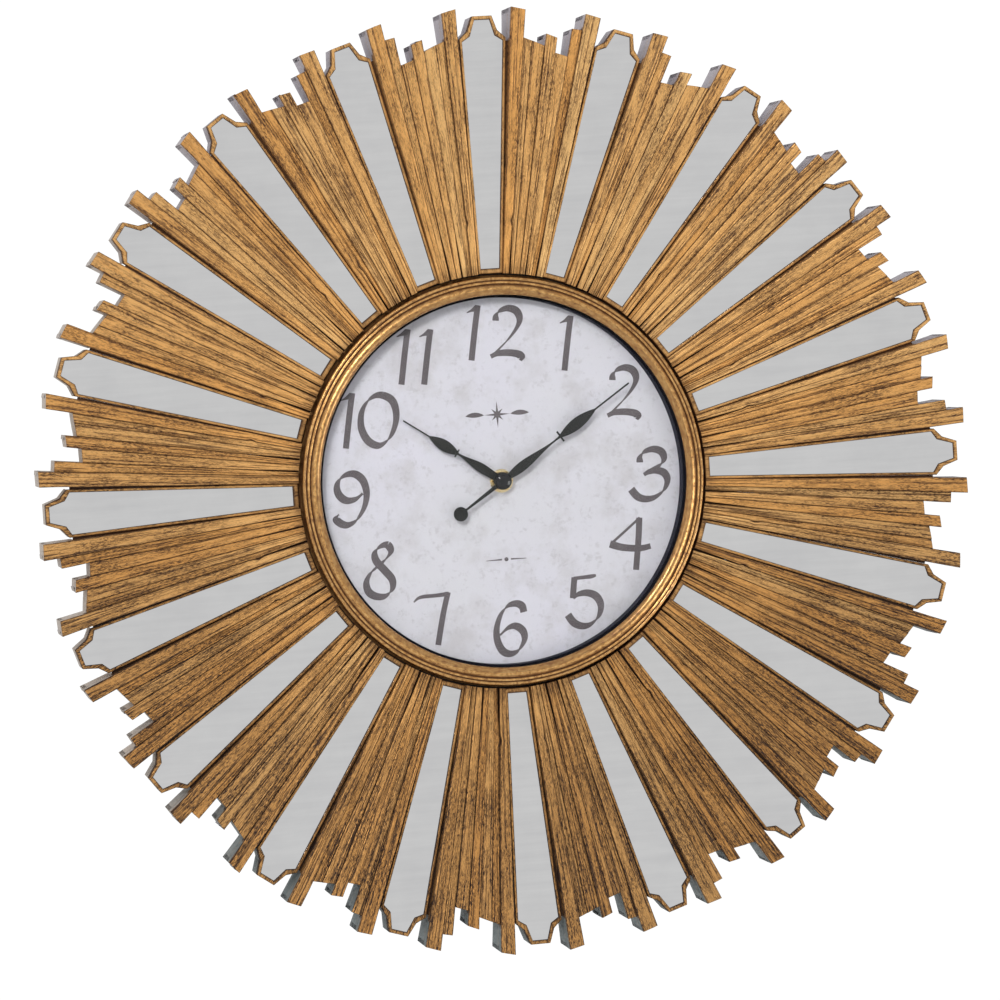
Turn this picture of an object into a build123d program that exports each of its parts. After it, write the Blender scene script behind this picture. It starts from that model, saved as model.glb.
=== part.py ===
from build123d import *
from math import atan, cos, degrees, hypot, pi, radians, sin, tan
import os

# Sunburst wall clock, in millimetres.
# The face looks along -Y and 12 o'clock is +Z. The origin is on the hands' axis, in the plane of the wall.
# "Depth" is the distance from the wall, counted towards the viewer, so depth 20 is y = -20.
# "Ray angles" are degrees clockwise from 12 o'clock, as the viewer sees them.

os.makedirs("parts", exist_ok=True)

# ---- Sunburst: ten identical segments, each with two mirrors and two fans ----
SEGMENTS = 10
SEGMENT_ANGLE = 360 / SEGMENTS
RAY_STEP = SEGMENT_ANGLE / 2          # a mirror every 18 degrees, a fan between each two
SEAM_ANGLE = -3.3                     # seam beside a mirror's lip, from that mirror's centre line
SEAM_GAP = 0.05                       # degrees left free on each side of the seam

FAN_INNER_R = 146.2
DISH_SLOPE = 0.155                    # the mirrors lie on a shallow dish, rim forward
DISH_DEPTH_AT_AXIS = 6.1              # depth of the mirrors' dish, carried on to the axis
FAN_SLOPE = 0.180                     # the fans' fronts rise a little faster than the mirrors
FAN_DEPTH_AT_AXIS = 6.4
SLAT_THICKNESS = 9.0
RIM_BACK_DEPTH = 31.0                 # back edge of the rim walls, clear of the wall
RIM_WALL = 3.0
RIM_WALLS_FROM_R = 180.0
TRIM_REACH = 400.0                    # past everything, for shapes that only cut
BACKING_HALF_ANGLE = 3.45             # strip of backing under a mirror, each side of its ray

# One fan, from the mirror beside its double step to the mirror beside its single tall slat:
# start angle, end angle, outer radius at each, front height over the fan's own dish
SLATS = [
    (3.4, 5.3, 329.0, 330.0, 0.0),
    (5.3, 6.6, 318.7, 318.7, -1.6),
    (6.6, 8.4, 299.2, 300.7, -0.4),
    (8.4, 9.9, 311.0, 313.0, 0.5),
    (9.9, 11.6, 304.7, 307.6, -0.8),
    (11.6, 12.8, 307.6, 309.6, -1.7),
    (12.8, 14.6, 328.5, 330.2, 0.0),
]

# Mirror strip and the lip around it: half widths and radii
MIRROR_INNER = (6.6, 149.8)
MIRROR_SHOULDER = (14.4, 307.3)
MIRROR_NECK = (8.7, 311.0)
MIRROR_TIP = (5.3, 322.0)
MIRROR_THICKNESS = 3.0
MIRROR_CLEARANCE = 0.15
SEAT_FLOOR = 3.0
LIP_HEIGHT = 2.0                      # over the mirror's face
LIP_INNER = (8.6, FAN_INNER_R)
LIP_SHOULDER = (16.5, 309.2)
LIP_NECK = (10.6, 314.6)
LIP_TIP = (6.9, 324.7)

# ---- Back housing ----
PLATE_BACK_DEPTH = 17.5
PLATE_FRONT_DEPTH = 20.5
PLATE_R = 172.0
DRUM_OUTER_R = 130.0
DRUM_WALL = 4.0

# ---- Dial, spacer, lens, bezel ----
DIAL_R = 134.4
DIAL_THICKNESS = 0.8
SPACER_INNER_R = 129.4
LENS_BACK_DEPTH = 32.0
LENS_THICKNESS = 2.0
BEZEL_CAVITY_R = 134.8
BEZEL_OPENING_R = 131.1
BEZEL_OUTER_R = 143.6
BEZEL_FOOT_R = 145.4
# Rounded beads of the bezel's front, each as three (radius, depth) points
WIDE_BEAD = [(BEZEL_OPENING_R, 36.4), (134.8, 38.0), (138.2, 36.2)]
THIN_BEAD = [(138.8, 36.2), (139.8, 36.9), (140.8, 36.0)]
OUTER_BEAD = [(141.2, 35.7), (142.6, 36.1), (BEZEL_OUTER_R, 34.4)]
BEZEL_COVE = [(BEZEL_OUTER_R, 28.0), (BEZEL_FOOT_R, 26.0)]
BEZEL_COVE_R = 2.6

# ---- Screws through the housing plate, one size for all ----
SCREW_R = 1.5
SCREW_PILOT_R = 1.55
SCREW_CLEARANCE_R = 1.7
SCREW_HEAD_R = 3.5
SCREW_HEAD_HEIGHT = 2.0
SCREW_REACH = 9.0                     # from under the head to the point
SEGMENT_SCREW_R = 160.0               # radius of the ring of segment screws
SEGMENT_PAD_R = 6.0
SEGMENT_PAD_HEIGHT = 6.1
BEZEL_SCREW_R = 139.4
BEZEL_SCREWS = 8

# ---- Hanger ----
HANGER_Z = 101.0
HANGER_PLATE_DEPTH = 2.5
HANGER_PLATE_THICKNESS = 1.2
HANGER_HALF_SPACING = 20.0
KEYHOLE_R = 5.0
KEYHOLE_SLOT_R = 2.5
KEYHOLE_RISE = 10.0
HANGER_POST_R = 5.0

# ---- Quartz movement ----
CASE_HALF_WIDTH = 28.0
CASE_TOP_Z = 24.0
CASE_BOTTOM_Z = -33.0
CASE_WALL = 1.5
CASE_FRONT_DEPTH = 16.5
COVER_THICKNESS = 3.0
BAY_TOP_Z = -16.5                     # top of the battery bay
BAY_WALL = 1.2
BUSH_R = 4.0
BUSH_BORE_R = 2.56
BUSH_END_DEPTH = 24.8
PANEL_HOLE_R = 4.4

HOUR_PIPE_R = 2.5
HOUR_BORE_R = 1.56
ARBOR_R = 1.5
PIVOT_R = 0.5
PIVOT_BORE_R = 0.55
PIVOT_LENGTH = 0.9

# Gear layers, as depths of their rear faces
LAYER_ROTOR = 3.5
LAYER_SECOND = 5.2
LAYER_THIRD = 7.0
LAYER_CENTRE = 8.8
LAYER_MOTION = 10.8
LAYER_HOUR = 12.7
WHEEL_THICKNESS = 0.8
PINION_THICKNESS = 1.2

# Teeth
CANNON_TEETH = 12
MOTION_TEETH = 36
MOTION_PINION_TEETH = 10
HOUR_TEETH = 40
KNOB_TEETH = 12
CENTRE_TEETH = 60
THIRD_PINION_TEETH = 8
THIRD_TEETH = 64
SECOND_PINION_TEETH = 8
SECOND_TEETH = 60
INTERMEDIATE_PINION_TEETH = 10
INTERMEDIATE_TEETH = 50
ROTOR_PINION_TEETH = 10

HOUR_MODULE = 0.4
MOTION_MODULE = HOUR_MODULE * (HOUR_TEETH + MOTION_PINION_TEETH) / (CANNON_TEETH + MOTION_TEETH)
CENTRE_MODULE = 0.30
TRAIN_MODULE = 0.25

# Directions from one arbor to the next, degrees anticlockwise from 3 o'clock as the viewer sees them
MOTION_DIRECTION = 37.0
KNOB_DIRECTION = 0.0
THIRD_DIRECTION = 142.0
SECOND_DIRECTION = 180.0
INTERMEDIATE_DIRECTION = 270.0
ROTOR_DIRECTION = 323.0

# ---- Battery, AA size ----
BATTERY_R = 7.1
BATTERY_LENGTH = 50.0
BATTERY_DEPTH = 7.7
BATTERY_Z = -23.9

# ---- Hands ----
HAND_THICKNESS = 0.7
HOUR_HAND_DEPTH = 25.4
MINUTE_HAND_DEPTH = 27.6
HOUR_HAND_ANGLE = 304.7
MINUTE_HAND_ANGLE = 56.4
CAP_R = 6.0
CAP_EDGE = 0.6                        # straight edge under the cap's dome
CAP_END_DEPTH = 31.4
HOUR_HUB_R = 6.2
MINUTE_HUB_R = 5.0
# Swellings along each hand, as (distance from the axis, half width)
HOUR_BLADE = [(4, 2.6), (12, 3.1), (18.5, 3.35), (28, 1.9), (37.6, 0.7)]
HOUR_LEAF = [(37.2, 0.9), (42, 2.9), (49.5, 4.0), (56, 2.7), (61, 0.6)]
MINUTE_BLADE = [(3.5, 1.4), (8, 2.5), (13.5, 3.3), (28, 2.5), (52, 1.0)]
MINUTE_LEAF = [(51.6, 1.0), (58, 3.0), (67, 4.1), (76, 2.9), (83, 0.65)]
# Bars of each hand, as (middle, length, width): the collar between the swellings, then the point
HOUR_BARS = [(38.2, 1.0, 6.2), (71, 24, 1.0)]
MINUTE_BARS = [(51.8, 1.3, 8.6), (98, 32, 1.2)]
MINUTE_TAIL = [(-2, 1.6), (-2, -1.6), (-36, -0.65), (-36, 0.65)]
MINUTE_WEIGHT = (-38.2, 5.1)          # distance and radius of the disc at the end of the tail


def facing(depth):
    """Plane at a depth, facing the viewer: its x is +X and its y is +Z."""
    return Plane(origin=(0, -depth, 0), x_dir=(1, 0, 0), z_dir=(0, -1, 0))


def ray_plane(angle, slope, depth_at_axis):
    """Plane through the axis that rises towards the rim along one ray: x runs clockwise, y outwards."""
    turn = radians(angle)
    tilt = atan(slope)
    normal = (-sin(turn) * sin(tilt), -cos(tilt), -cos(turn) * sin(tilt))
    return Plane(origin=(0, -depth_at_axis, 0), x_dir=(cos(turn), 0, -sin(turn)), z_dir=normal)


def on_ray(radius, off_angle, slope):
    """Point of a ray plane at a true radius, off its ray by an angle."""
    return (radius * sin(radians(off_angle)), radius * cos(radians(off_angle)) / cos(atan(slope)))


def across_ray(half_width, radius, slope):
    """Point of a ray plane at a half width beside its ray."""
    return (half_width, radius / cos(atan(slope)))


def seen(radius, angle):
    """Point of a facing plane at a ray angle."""
    return (radius * sin(radians(angle)), radius * cos(radians(angle)))


def turned(distance, direction, start=(0, 0)):
    """Point of a facing plane at a distance and an anticlockwise direction from another point."""
    return (start[0] + distance * cos(radians(direction)), start[1] + distance * sin(radians(direction)))


def save(part, name):
    part.label = name
    export_step(part, f"parts/{name}.step")


# ---- Sunburst ----

def strip_points(corners, slope):
    """Closed outline of a strip that is the same on both sides of its ray, from its corners outwards."""
    right = [across_ray(half_width, radius, slope) for half_width, radius in corners]
    left = [(-x, y) for x, y in reversed(right)]
    return right + left


MIRROR_CORNERS = [MIRROR_INNER, MIRROR_SHOULDER, MIRROR_NECK, MIRROR_TIP]
LIP_CORNERS = [LIP_INNER, LIP_SHOULDER, LIP_NECK, LIP_TIP]


def mirror_pocket(angle):
    """Room for one mirror strip, open to the front."""
    plane = ray_plane(angle, DISH_SLOPE, DISH_DEPTH_AT_AXIS).offset(-MIRROR_THICKNESS)
    with BuildPart() as pocket:
        with BuildSketch(plane):
            with BuildLine():
                Polyline(*strip_points(MIRROR_CORNERS, DISH_SLOPE), close=True)
            make_face()
            offset(amount=MIRROR_CLEARANCE, kind=Kind.INTERSECTION)
        extrude(amount=MIRROR_THICKNESS + 3 * LIP_HEIGHT)
    return pocket.part


def fan_slats(mirror_angle, side):
    """Ray angles and radii of the slats on one side of the mirror with the double steps."""
    return [
        (mirror_angle + side * start, mirror_angle + side * end, outer_start, outer_end, height)
        for start, end, outer_start, outer_end, height in SLATS
    ]


def segment_outline(first_ray):
    """Front outline of one segment, clockwise: lip, fan, lip, fan, then back along the inner ends."""
    def lip(ray):
        corners = [(-w, r) for w, r in LIP_CORNERS[1:]] + [(w, r) for w, r in reversed(LIP_CORNERS[1:])]
        return [(hypot(w, r), ray + degrees(atan(w / r))) for w, r in corners]

    double_ray = first_ray + RAY_STEP
    fan_a = []
    for start, end, outer_start, outer_end, _ in reversed(fan_slats(double_ray, -1)):
        fan_a += [(outer_end, end), (outer_start, start)]
    fan_b = []
    for start, end, outer_start, outer_end, _ in fan_slats(double_ray, 1):
        fan_b += [(outer_start, start), (outer_end, end)]
    seam = first_ray + SEAM_ANGLE + SEAM_GAP
    next_seam = first_ray + SEGMENT_ANGLE + SEAM_ANGLE - SEAM_GAP
    corners = lip(first_ray) + fan_a + lip(double_ray) + fan_b
    outer = [corner for corner, before in zip(corners, [None] + corners) if corner != before]
    return [(RIM_WALLS_FROM_R, seam)] + outer + [(RIM_WALLS_FROM_R, next_seam)]


def rim_walls(first_ray):
    """Deep wall behind the stepped outline, cut off inside the thickness of the fans and the lips."""
    with BuildPart() as walls:
        with BuildSketch(facing(RIM_BACK_DEPTH)):
            with BuildLine() as outline:
                Polyline(*[seen(radius, angle) for radius, angle in segment_outline(first_ray)], close=True)
            make_face()
            trace(outline.edges(), line_width=2 * RIM_WALL, mode=Mode.INTERSECT)
            Circle(RIM_WALLS_FROM_R + RIM_WALL, mode=Mode.SUBTRACT)
        extrude(amount=2 * RIM_BACK_DEPTH)
        top_at_axis = DISH_DEPTH_AT_AXIS + LIP_HEIGHT / 2
        with BuildSketch(Plane.XY):
            with BuildLine():
                Polyline(
                    (0, -top_at_axis),
                    (TRIM_REACH, -top_at_axis - DISH_SLOPE * TRIM_REACH),
                    (TRIM_REACH, -4 * RIM_BACK_DEPTH),
                    (0, -4 * RIM_BACK_DEPTH),
                    close=True,
                )
            make_face()
        revolve(axis=Axis.Y, mode=Mode.SUBTRACT)
    return walls.part


def segment(first_ray):
    """One tenth of the sunburst: two mirror seats and two fans of slats."""
    double_ray = first_ray + RAY_STEP
    slats = fan_slats(double_ray, -1) + fan_slats(double_ray, 1)
    walls = rim_walls(first_ray)
    pockets = [mirror_pocket(first_ray), mirror_pocket(double_ray)]
    pad_rays = [first_ray + RAY_STEP / 2, first_ray + 3 * RAY_STEP / 2]
    with BuildPart() as fan_segment:
        for ray in (first_ray, double_ray):
            plane = ray_plane(ray, DISH_SLOPE, DISH_DEPTH_AT_AXIS)
            with BuildSketch(plane.offset(-MIRROR_THICKNESS - SEAT_FLOOR)):
                with BuildLine():
                    Polyline(*strip_points(LIP_CORNERS, DISH_SLOPE), close=True)
                make_face()
            extrude(amount=MIRROR_THICKNESS + SEAT_FLOOR + LIP_HEIGHT)
            near_side = -BACKING_HALF_ANGLE if ray == double_ray else SEAM_ANGLE + SEAM_GAP
            with BuildSketch(plane.offset(-MIRROR_THICKNESS - SEAT_FLOOR)):
                with BuildLine():
                    Polyline(
                        on_ray(FAN_INNER_R, near_side, DISH_SLOPE),
                        on_ray(MIRROR_SHOULDER[1], near_side, DISH_SLOPE),
                        on_ray(MIRROR_SHOULDER[1], BACKING_HALF_ANGLE, DISH_SLOPE),
                        on_ray(FAN_INNER_R, BACKING_HALF_ANGLE, DISH_SLOPE),
                        close=True,
                    )
                make_face()
            extrude(amount=MIRROR_THICKNESS + SEAT_FLOOR - LIP_HEIGHT / 2)
        for start, end, outer_start, outer_end, height in slats:
            middle = (start + end) / 2
            plane = ray_plane(middle, FAN_SLOPE, FAN_DEPTH_AT_AXIS)
            with BuildSketch(plane.offset(-SLAT_THICKNESS)):
                with BuildLine():
                    Polyline(
                        on_ray(FAN_INNER_R, start - middle, FAN_SLOPE),
                        on_ray(outer_start, start - middle, FAN_SLOPE),
                        on_ray(outer_end, end - middle, FAN_SLOPE),
                        on_ray(FAN_INNER_R, end - middle, FAN_SLOPE),
                        close=True,
                    )
                make_face()
            extrude(amount=SLAT_THICKNESS + height)
        add(walls)
        for ray in pad_rays:
            with BuildSketch(facing(PLATE_FRONT_DEPTH)):
                with Locations(seen(SEGMENT_SCREW_R, ray)):
                    Circle(SEGMENT_PAD_R)
            extrude(amount=SEGMENT_PAD_HEIGHT)
        for pocket in pockets:
            add(pocket, mode=Mode.SUBTRACT)
        for ray in pad_rays:
            with BuildSketch(facing(PLATE_FRONT_DEPTH)):
                with Locations(seen(SEGMENT_SCREW_R, ray)):
                    Circle(SCREW_PILOT_R)
            extrude(amount=SCREW_REACH, mode=Mode.SUBTRACT)
    return fan_segment.part


def mirror_strip(angle):
    """One mirror, flat, lying in its seat."""
    plane = ray_plane(angle, DISH_SLOPE, DISH_DEPTH_AT_AXIS).offset(-MIRROR_THICKNESS)
    with BuildPart() as strip:
        with BuildSketch(plane):
            with BuildLine():
                Polyline(*strip_points(MIRROR_CORNERS, DISH_SLOPE), close=True)
            make_face()
        extrude(amount=MIRROR_THICKNESS)
    return strip.part


for index in range(SEGMENTS):
    save(segment(index * SEGMENT_ANGLE), f"sunburst_segment_{index + 1:02d}")

for index in range(2 * SEGMENTS):
    save(mirror_strip(index * RAY_STEP), f"mirror_{index + 1:02d}")


# ---- Back housing: a plate that carries everything, and a drum that stands on the wall ----

SEGMENT_SCREW_SPOTS = [
    seen(SEGMENT_SCREW_R, RAY_STEP / 2 + index * RAY_STEP) for index in range(2 * SEGMENTS)
]
BEZEL_SCREW_SPOTS = [seen(BEZEL_SCREW_R, (index + 0.5) * 360 / BEZEL_SCREWS) for index in range(BEZEL_SCREWS)]
HANGER_SPOTS = [(-HANGER_HALF_SPACING, HANGER_Z), (HANGER_HALF_SPACING, HANGER_Z)]
HANGER_POST_DEPTH = HANGER_PLATE_DEPTH + HANGER_PLATE_THICKNESS

with BuildPart() as back_housing:
    with BuildSketch(facing(PLATE_BACK_DEPTH)):
        Circle(PLATE_R)
    extrude(amount=PLATE_FRONT_DEPTH - PLATE_BACK_DEPTH)
    with BuildSketch(facing(0)):
        Circle(DRUM_OUTER_R)
        Circle(DRUM_OUTER_R - DRUM_WALL, mode=Mode.SUBTRACT)
    extrude(amount=PLATE_BACK_DEPTH)
    with BuildSketch(facing(HANGER_POST_DEPTH)):
        with Locations(*HANGER_SPOTS):
            Circle(HANGER_POST_R)
    extrude(amount=PLATE_BACK_DEPTH - HANGER_POST_DEPTH)
    with BuildSketch(facing(HANGER_POST_DEPTH)):
        with Locations(*HANGER_SPOTS):
            Circle(SCREW_PILOT_R)
    extrude(amount=SCREW_REACH, mode=Mode.SUBTRACT)
    with BuildSketch(facing(PLATE_BACK_DEPTH)):
        Circle(PANEL_HOLE_R)
        with Locations(*SEGMENT_SCREW_SPOTS, *BEZEL_SCREW_SPOTS):
            Circle(SCREW_CLEARANCE_R)
    extrude(amount=PLATE_FRONT_DEPTH - PLATE_BACK_DEPTH, mode=Mode.SUBTRACT)
save(back_housing.part, "back_housing")


def pan_head_screws(spots, seat_depth):
    """Screws driven towards the viewer, with the undersides of their heads at one depth."""
    with BuildPart() as screws:
        with BuildSketch(facing(seat_depth - SCREW_HEAD_HEIGHT)):
            with Locations(*spots):
                Circle(SCREW_HEAD_R)
        extrude(amount=SCREW_HEAD_HEIGHT)
        with BuildSketch(facing(seat_depth)):
            with Locations(*spots):
                Circle(SCREW_R)
        extrude(amount=SCREW_REACH)
        with BuildSketch(facing(seat_depth - SCREW_HEAD_HEIGHT)):
            with Locations(*spots):
                Rectangle(4, 0.8)
                Rectangle(0.8, 4)
        extrude(amount=1, mode=Mode.SUBTRACT)
    return screws.part


save(pan_head_screws(SEGMENT_SCREW_SPOTS + BEZEL_SCREW_SPOTS, PLATE_BACK_DEPTH), "housing_screws")
save(pan_head_screws(HANGER_SPOTS, HANGER_PLATE_DEPTH), "hanger_screws")

with BuildPart() as hanger_plate:
    with BuildSketch(facing(HANGER_PLATE_DEPTH)):
        with Locations((0, HANGER_Z + 2)):
            RectangleRounded(2 * HANGER_HALF_SPACING + 14, 24, 3)
        with Locations(*HANGER_SPOTS):
            Circle(SCREW_CLEARANCE_R, mode=Mode.SUBTRACT)
        with Locations((0, HANGER_Z)):
            Circle(KEYHOLE_R, mode=Mode.SUBTRACT)
        with Locations((0, HANGER_Z + KEYHOLE_RISE / 2)):
            SlotCenterToCenter(KEYHOLE_RISE, 2 * KEYHOLE_SLOT_R, rotation=90, mode=Mode.SUBTRACT)
    extrude(amount=HANGER_PLATE_THICKNESS)
save(hanger_plate.part, "hanger_plate")


# ---- Dial, spacer, lens and bezel ----

with BuildPart() as dial_plate:
    with BuildSketch(facing(PLATE_FRONT_DEPTH)):
        Circle(DIAL_R)
        Circle(PANEL_HOLE_R, mode=Mode.SUBTRACT)
    extrude(amount=DIAL_THICKNESS)
save(dial_plate.part, "dial_plate")

DIAL_FRONT_DEPTH = PLATE_FRONT_DEPTH + DIAL_THICKNESS

with BuildPart() as spacer_ring:
    with BuildSketch(facing(DIAL_FRONT_DEPTH)):
        Circle(DIAL_R)
        Circle(SPACER_INNER_R, mode=Mode.SUBTRACT)
    extrude(amount=LENS_BACK_DEPTH - DIAL_FRONT_DEPTH)
save(spacer_ring.part, "spacer_ring")

with BuildPart() as glass_lens:
    with BuildSketch(facing(LENS_BACK_DEPTH)):
        Circle(DIAL_R)
    extrude(amount=LENS_THICKNESS)
    chamfer(glass_lens.edges().filter_by(GeomType.CIRCLE), 0.3)
save(glass_lens.part, "glass_lens")

LIP_BACK_DEPTH = LENS_BACK_DEPTH + LENS_THICKNESS


def profile_points(stations):
    """Points of a turned profile from (radius, depth) stations."""
    return [(radius, -depth) for radius, depth in stations]


with BuildPart() as bezel_ring:
    with BuildSketch(Plane.XY):
        with BuildLine():
            ThreePointArc(*profile_points(WIDE_BEAD))
            Line(*profile_points([WIDE_BEAD[-1], THIN_BEAD[0]]))
            ThreePointArc(*profile_points(THIN_BEAD))
            Line(*profile_points([THIN_BEAD[-1], OUTER_BEAD[0]]))
            ThreePointArc(*profile_points(OUTER_BEAD))
            Line(*profile_points([OUTER_BEAD[-1], BEZEL_COVE[0]]))
            RadiusArc(*profile_points(BEZEL_COVE), -BEZEL_COVE_R)
            Polyline(
                *profile_points([BEZEL_COVE[-1]]),
                (BEZEL_FOOT_R, -PLATE_FRONT_DEPTH),
                (BEZEL_CAVITY_R, -PLATE_FRONT_DEPTH),
                (BEZEL_CAVITY_R, -LIP_BACK_DEPTH),
                (BEZEL_OPENING_R, -LIP_BACK_DEPTH),
                *profile_points([WIDE_BEAD[0]]),
            )
        make_face()
    revolve(axis=Axis.Y)
    with BuildSketch(facing(PLATE_FRONT_DEPTH)):
        with Locations(*BEZEL_SCREW_SPOTS):
            Circle(SCREW_PILOT_R)
    extrude(amount=SCREW_REACH, mode=Mode.SUBTRACT)
save(bezel_ring.part, "bezel_ring")


# ---- Quartz movement: housing ----

BAY_BOTTOM_Z = CASE_BOTTOM_Z + CASE_WALL
ROOM_FRONT_DEPTH = CASE_FRONT_DEPTH - CASE_WALL
ROOM_BOTTOM_Z = BAY_TOP_Z + BAY_WALL
ROOM_HALF_WIDTH = CASE_HALF_WIDTH - CASE_WALL
CASE_HEIGHT = CASE_TOP_Z - CASE_BOTTOM_Z
CASE_MIDDLE_Z = (CASE_TOP_Z + CASE_BOTTOM_Z) / 2

MOTION_SPOT = turned(HOUR_MODULE * (HOUR_TEETH + MOTION_PINION_TEETH) / 2, MOTION_DIRECTION)
KNOB_SPOT = turned(MOTION_MODULE * (MOTION_TEETH + KNOB_TEETH) / 2, KNOB_DIRECTION, MOTION_SPOT)
THIRD_SPOT = turned(CENTRE_MODULE * (CENTRE_TEETH + THIRD_PINION_TEETH) / 2, THIRD_DIRECTION)
SECOND_SPOT = turned(TRAIN_MODULE * (THIRD_TEETH + SECOND_PINION_TEETH) / 2, SECOND_DIRECTION, THIRD_SPOT)
INTERMEDIATE_SPOT = turned(
    TRAIN_MODULE * (SECOND_TEETH + INTERMEDIATE_PINION_TEETH) / 2, INTERMEDIATE_DIRECTION, SECOND_SPOT
)
ROTOR_SPOT = turned(
    TRAIN_MODULE * (INTERMEDIATE_TEETH + ROTOR_PINION_TEETH) / 2, ROTOR_DIRECTION, INTERMEDIATE_SPOT
)
TRAIN_SPOTS = [MOTION_SPOT, THIRD_SPOT, SECOND_SPOT, INTERMEDIATE_SPOT, ROTOR_SPOT]

with BuildPart() as movement_case:
    with BuildSketch(facing(0)):
        with Locations((0, CASE_MIDDLE_Z)):
            RectangleRounded(2 * CASE_HALF_WIDTH, CASE_HEIGHT, 2.5)
    extrude(amount=CASE_FRONT_DEPTH)
    with BuildSketch(facing(0)):
        with Locations((0, (BAY_TOP_Z + BAY_BOTTOM_Z) / 2)):
            Rectangle(2 * ROOM_HALF_WIDTH, BAY_TOP_Z - BAY_BOTTOM_Z)
        with Locations((0, (CASE_TOP_Z - CASE_WALL + ROOM_BOTTOM_Z) / 2)):
            Rectangle(2 * ROOM_HALF_WIDTH, CASE_TOP_Z - CASE_WALL - ROOM_BOTTOM_Z)
    extrude(amount=ROOM_FRONT_DEPTH, mode=Mode.SUBTRACT)
    with BuildSketch(facing(0)):
        with Locations((0, (CASE_TOP_Z + BAY_TOP_Z) / 2)):
            Rectangle(2 * CASE_HALF_WIDTH, CASE_TOP_Z - BAY_TOP_Z)
    extrude(amount=COVER_THICKNESS, mode=Mode.SUBTRACT)
    with BuildSketch(facing(CASE_FRONT_DEPTH)):
        Circle(BUSH_R)
    extrude(amount=BUSH_END_DEPTH - CASE_FRONT_DEPTH)
    with BuildSketch(facing(ROOM_FRONT_DEPTH)):
        Circle(BUSH_BORE_R)
    extrude(amount=BUSH_END_DEPTH - ROOM_FRONT_DEPTH, mode=Mode.SUBTRACT)
    with BuildSketch(facing(ROOM_FRONT_DEPTH)):
        with Locations(*TRAIN_SPOTS, KNOB_SPOT):
            Circle(PIVOT_BORE_R)
    extrude(amount=PIVOT_LENGTH + 0.1, mode=Mode.SUBTRACT)
save(movement_case.part, "movement_case")

KNOB_R = 5.0
KNOB_SHAFT_R = 1.5
KNOB_POCKET_DEPTH = 2.0

with BuildPart() as movement_cover:
    with BuildSketch(facing(0)):
        with Locations((0, (CASE_TOP_Z + BAY_TOP_Z) / 2)):
            Rectangle(2 * CASE_HALF_WIDTH, CASE_TOP_Z - BAY_TOP_Z)
    extrude(amount=COVER_THICKNESS)
    fillet(movement_cover.edges().filter_by(Axis.Y).group_by(Axis.Z)[-1], 2.5)
    with BuildSketch(facing(0)):
        with Locations(KNOB_SPOT):
            Circle(KNOB_R + 0.4)
    extrude(amount=KNOB_POCKET_DEPTH, mode=Mode.SUBTRACT)
    with BuildSketch(facing(0)):
        with Locations(KNOB_SPOT):
            Circle(KNOB_SHAFT_R + 0.06)
    extrude(amount=COVER_THICKNESS, mode=Mode.SUBTRACT)
    with BuildSketch(facing(COVER_THICKNESS - PIVOT_LENGTH - 0.1)):
        with Locations((0, 0), *TRAIN_SPOTS):
            Circle(PIVOT_BORE_R)
    extrude(amount=PIVOT_LENGTH + 0.1, mode=Mode.SUBTRACT)
save(movement_cover.part, "movement_cover")

WASHER_THICKNESS = 0.5
NUT_FRONT_DEPTH = DIAL_FRONT_DEPTH + WASHER_THICKNESS + 2.2

with BuildPart() as rubber_washer:
    with BuildSketch(facing(CASE_FRONT_DEPTH)):
        Circle(10)
        Circle(PANEL_HOLE_R, mode=Mode.SUBTRACT)
    extrude(amount=PLATE_BACK_DEPTH - CASE_FRONT_DEPTH)
save(rubber_washer.part, "rubber_washer")

with BuildPart() as brass_washer:
    with BuildSketch(facing(DIAL_FRONT_DEPTH)):
        Circle(8.3)
        Circle(BUSH_R + 0.1, mode=Mode.SUBTRACT)
    extrude(amount=WASHER_THICKNESS)
save(brass_washer.part, "brass_washer")

with BuildPart() as fixing_nut:
    with BuildSketch(facing(DIAL_FRONT_DEPTH + WASHER_THICKNESS)):
        RegularPolygon(6.5, 6, major_radius=False)
        Circle(BUSH_R + 0.05, mode=Mode.SUBTRACT)
    extrude(amount=NUT_FRONT_DEPTH - DIAL_FRONT_DEPTH - WASHER_THICKNESS)
save(fixing_nut.part, "fixing_nut")


# ---- Quartz movement: wheels ----

def gear_points(teeth, module, phase, spot):
    """Outline of a spur wheel with involute flanks, one tooth centred on the direction `phase`."""
    pressure = radians(20)
    pitch_r = teeth * module / 2
    base_r = pitch_r * cos(pressure)
    tip_r = pitch_r + 0.85 * module
    root_r = pitch_r - 1.25 * module
    tooth_share = 0.42                     # of the pitch, so the teeth run with backlash
    half_tooth = tooth_share * pi / teeth
    involute_at_pitch = tan(pressure) - pressure

    def half_angle(radius):
        if radius <= base_r:
            return half_tooth + involute_at_pitch
        angle = (radius / base_r) ** 2 - 1
        roll = angle ** 0.5
        return half_tooth + involute_at_pitch - (roll - atan(roll))

    flank = [root_r, max(base_r, root_r + 0.2 * module), pitch_r, tip_r]
    points = []
    for tooth in range(teeth):
        centre = radians(phase) + 2 * pi * tooth / teeth
        for radius in flank:
            angle = centre - half_angle(radius)
            points.append((spot[0] + radius * cos(angle), spot[1] + radius * sin(angle)))
        for radius in reversed(flank):
            angle = centre + half_angle(radius)
            points.append((spot[0] + radius * cos(angle), spot[1] + radius * sin(angle)))
    return points


def mate_phase(phase, teeth, direction, mate_teeth):
    """Phase of the wheel that meshes, in a direction, with one of a known phase."""
    share = ((direction - phase) * teeth / 360) % 1
    return direction + 180 + (share + 0.5) * 360 / mate_teeth


def toothed_disc(teeth, module, phase, spot, depth, thickness):
    """Spur wheel at a depth, as a solid for the wheel's own block to add."""
    with BuildPart() as disc:
        with BuildSketch(facing(depth)):
            with BuildLine():
                Polyline(*gear_points(teeth, module, phase, spot), close=True)
            make_face()
        extrude(amount=thickness)
    return disc.part


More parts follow.
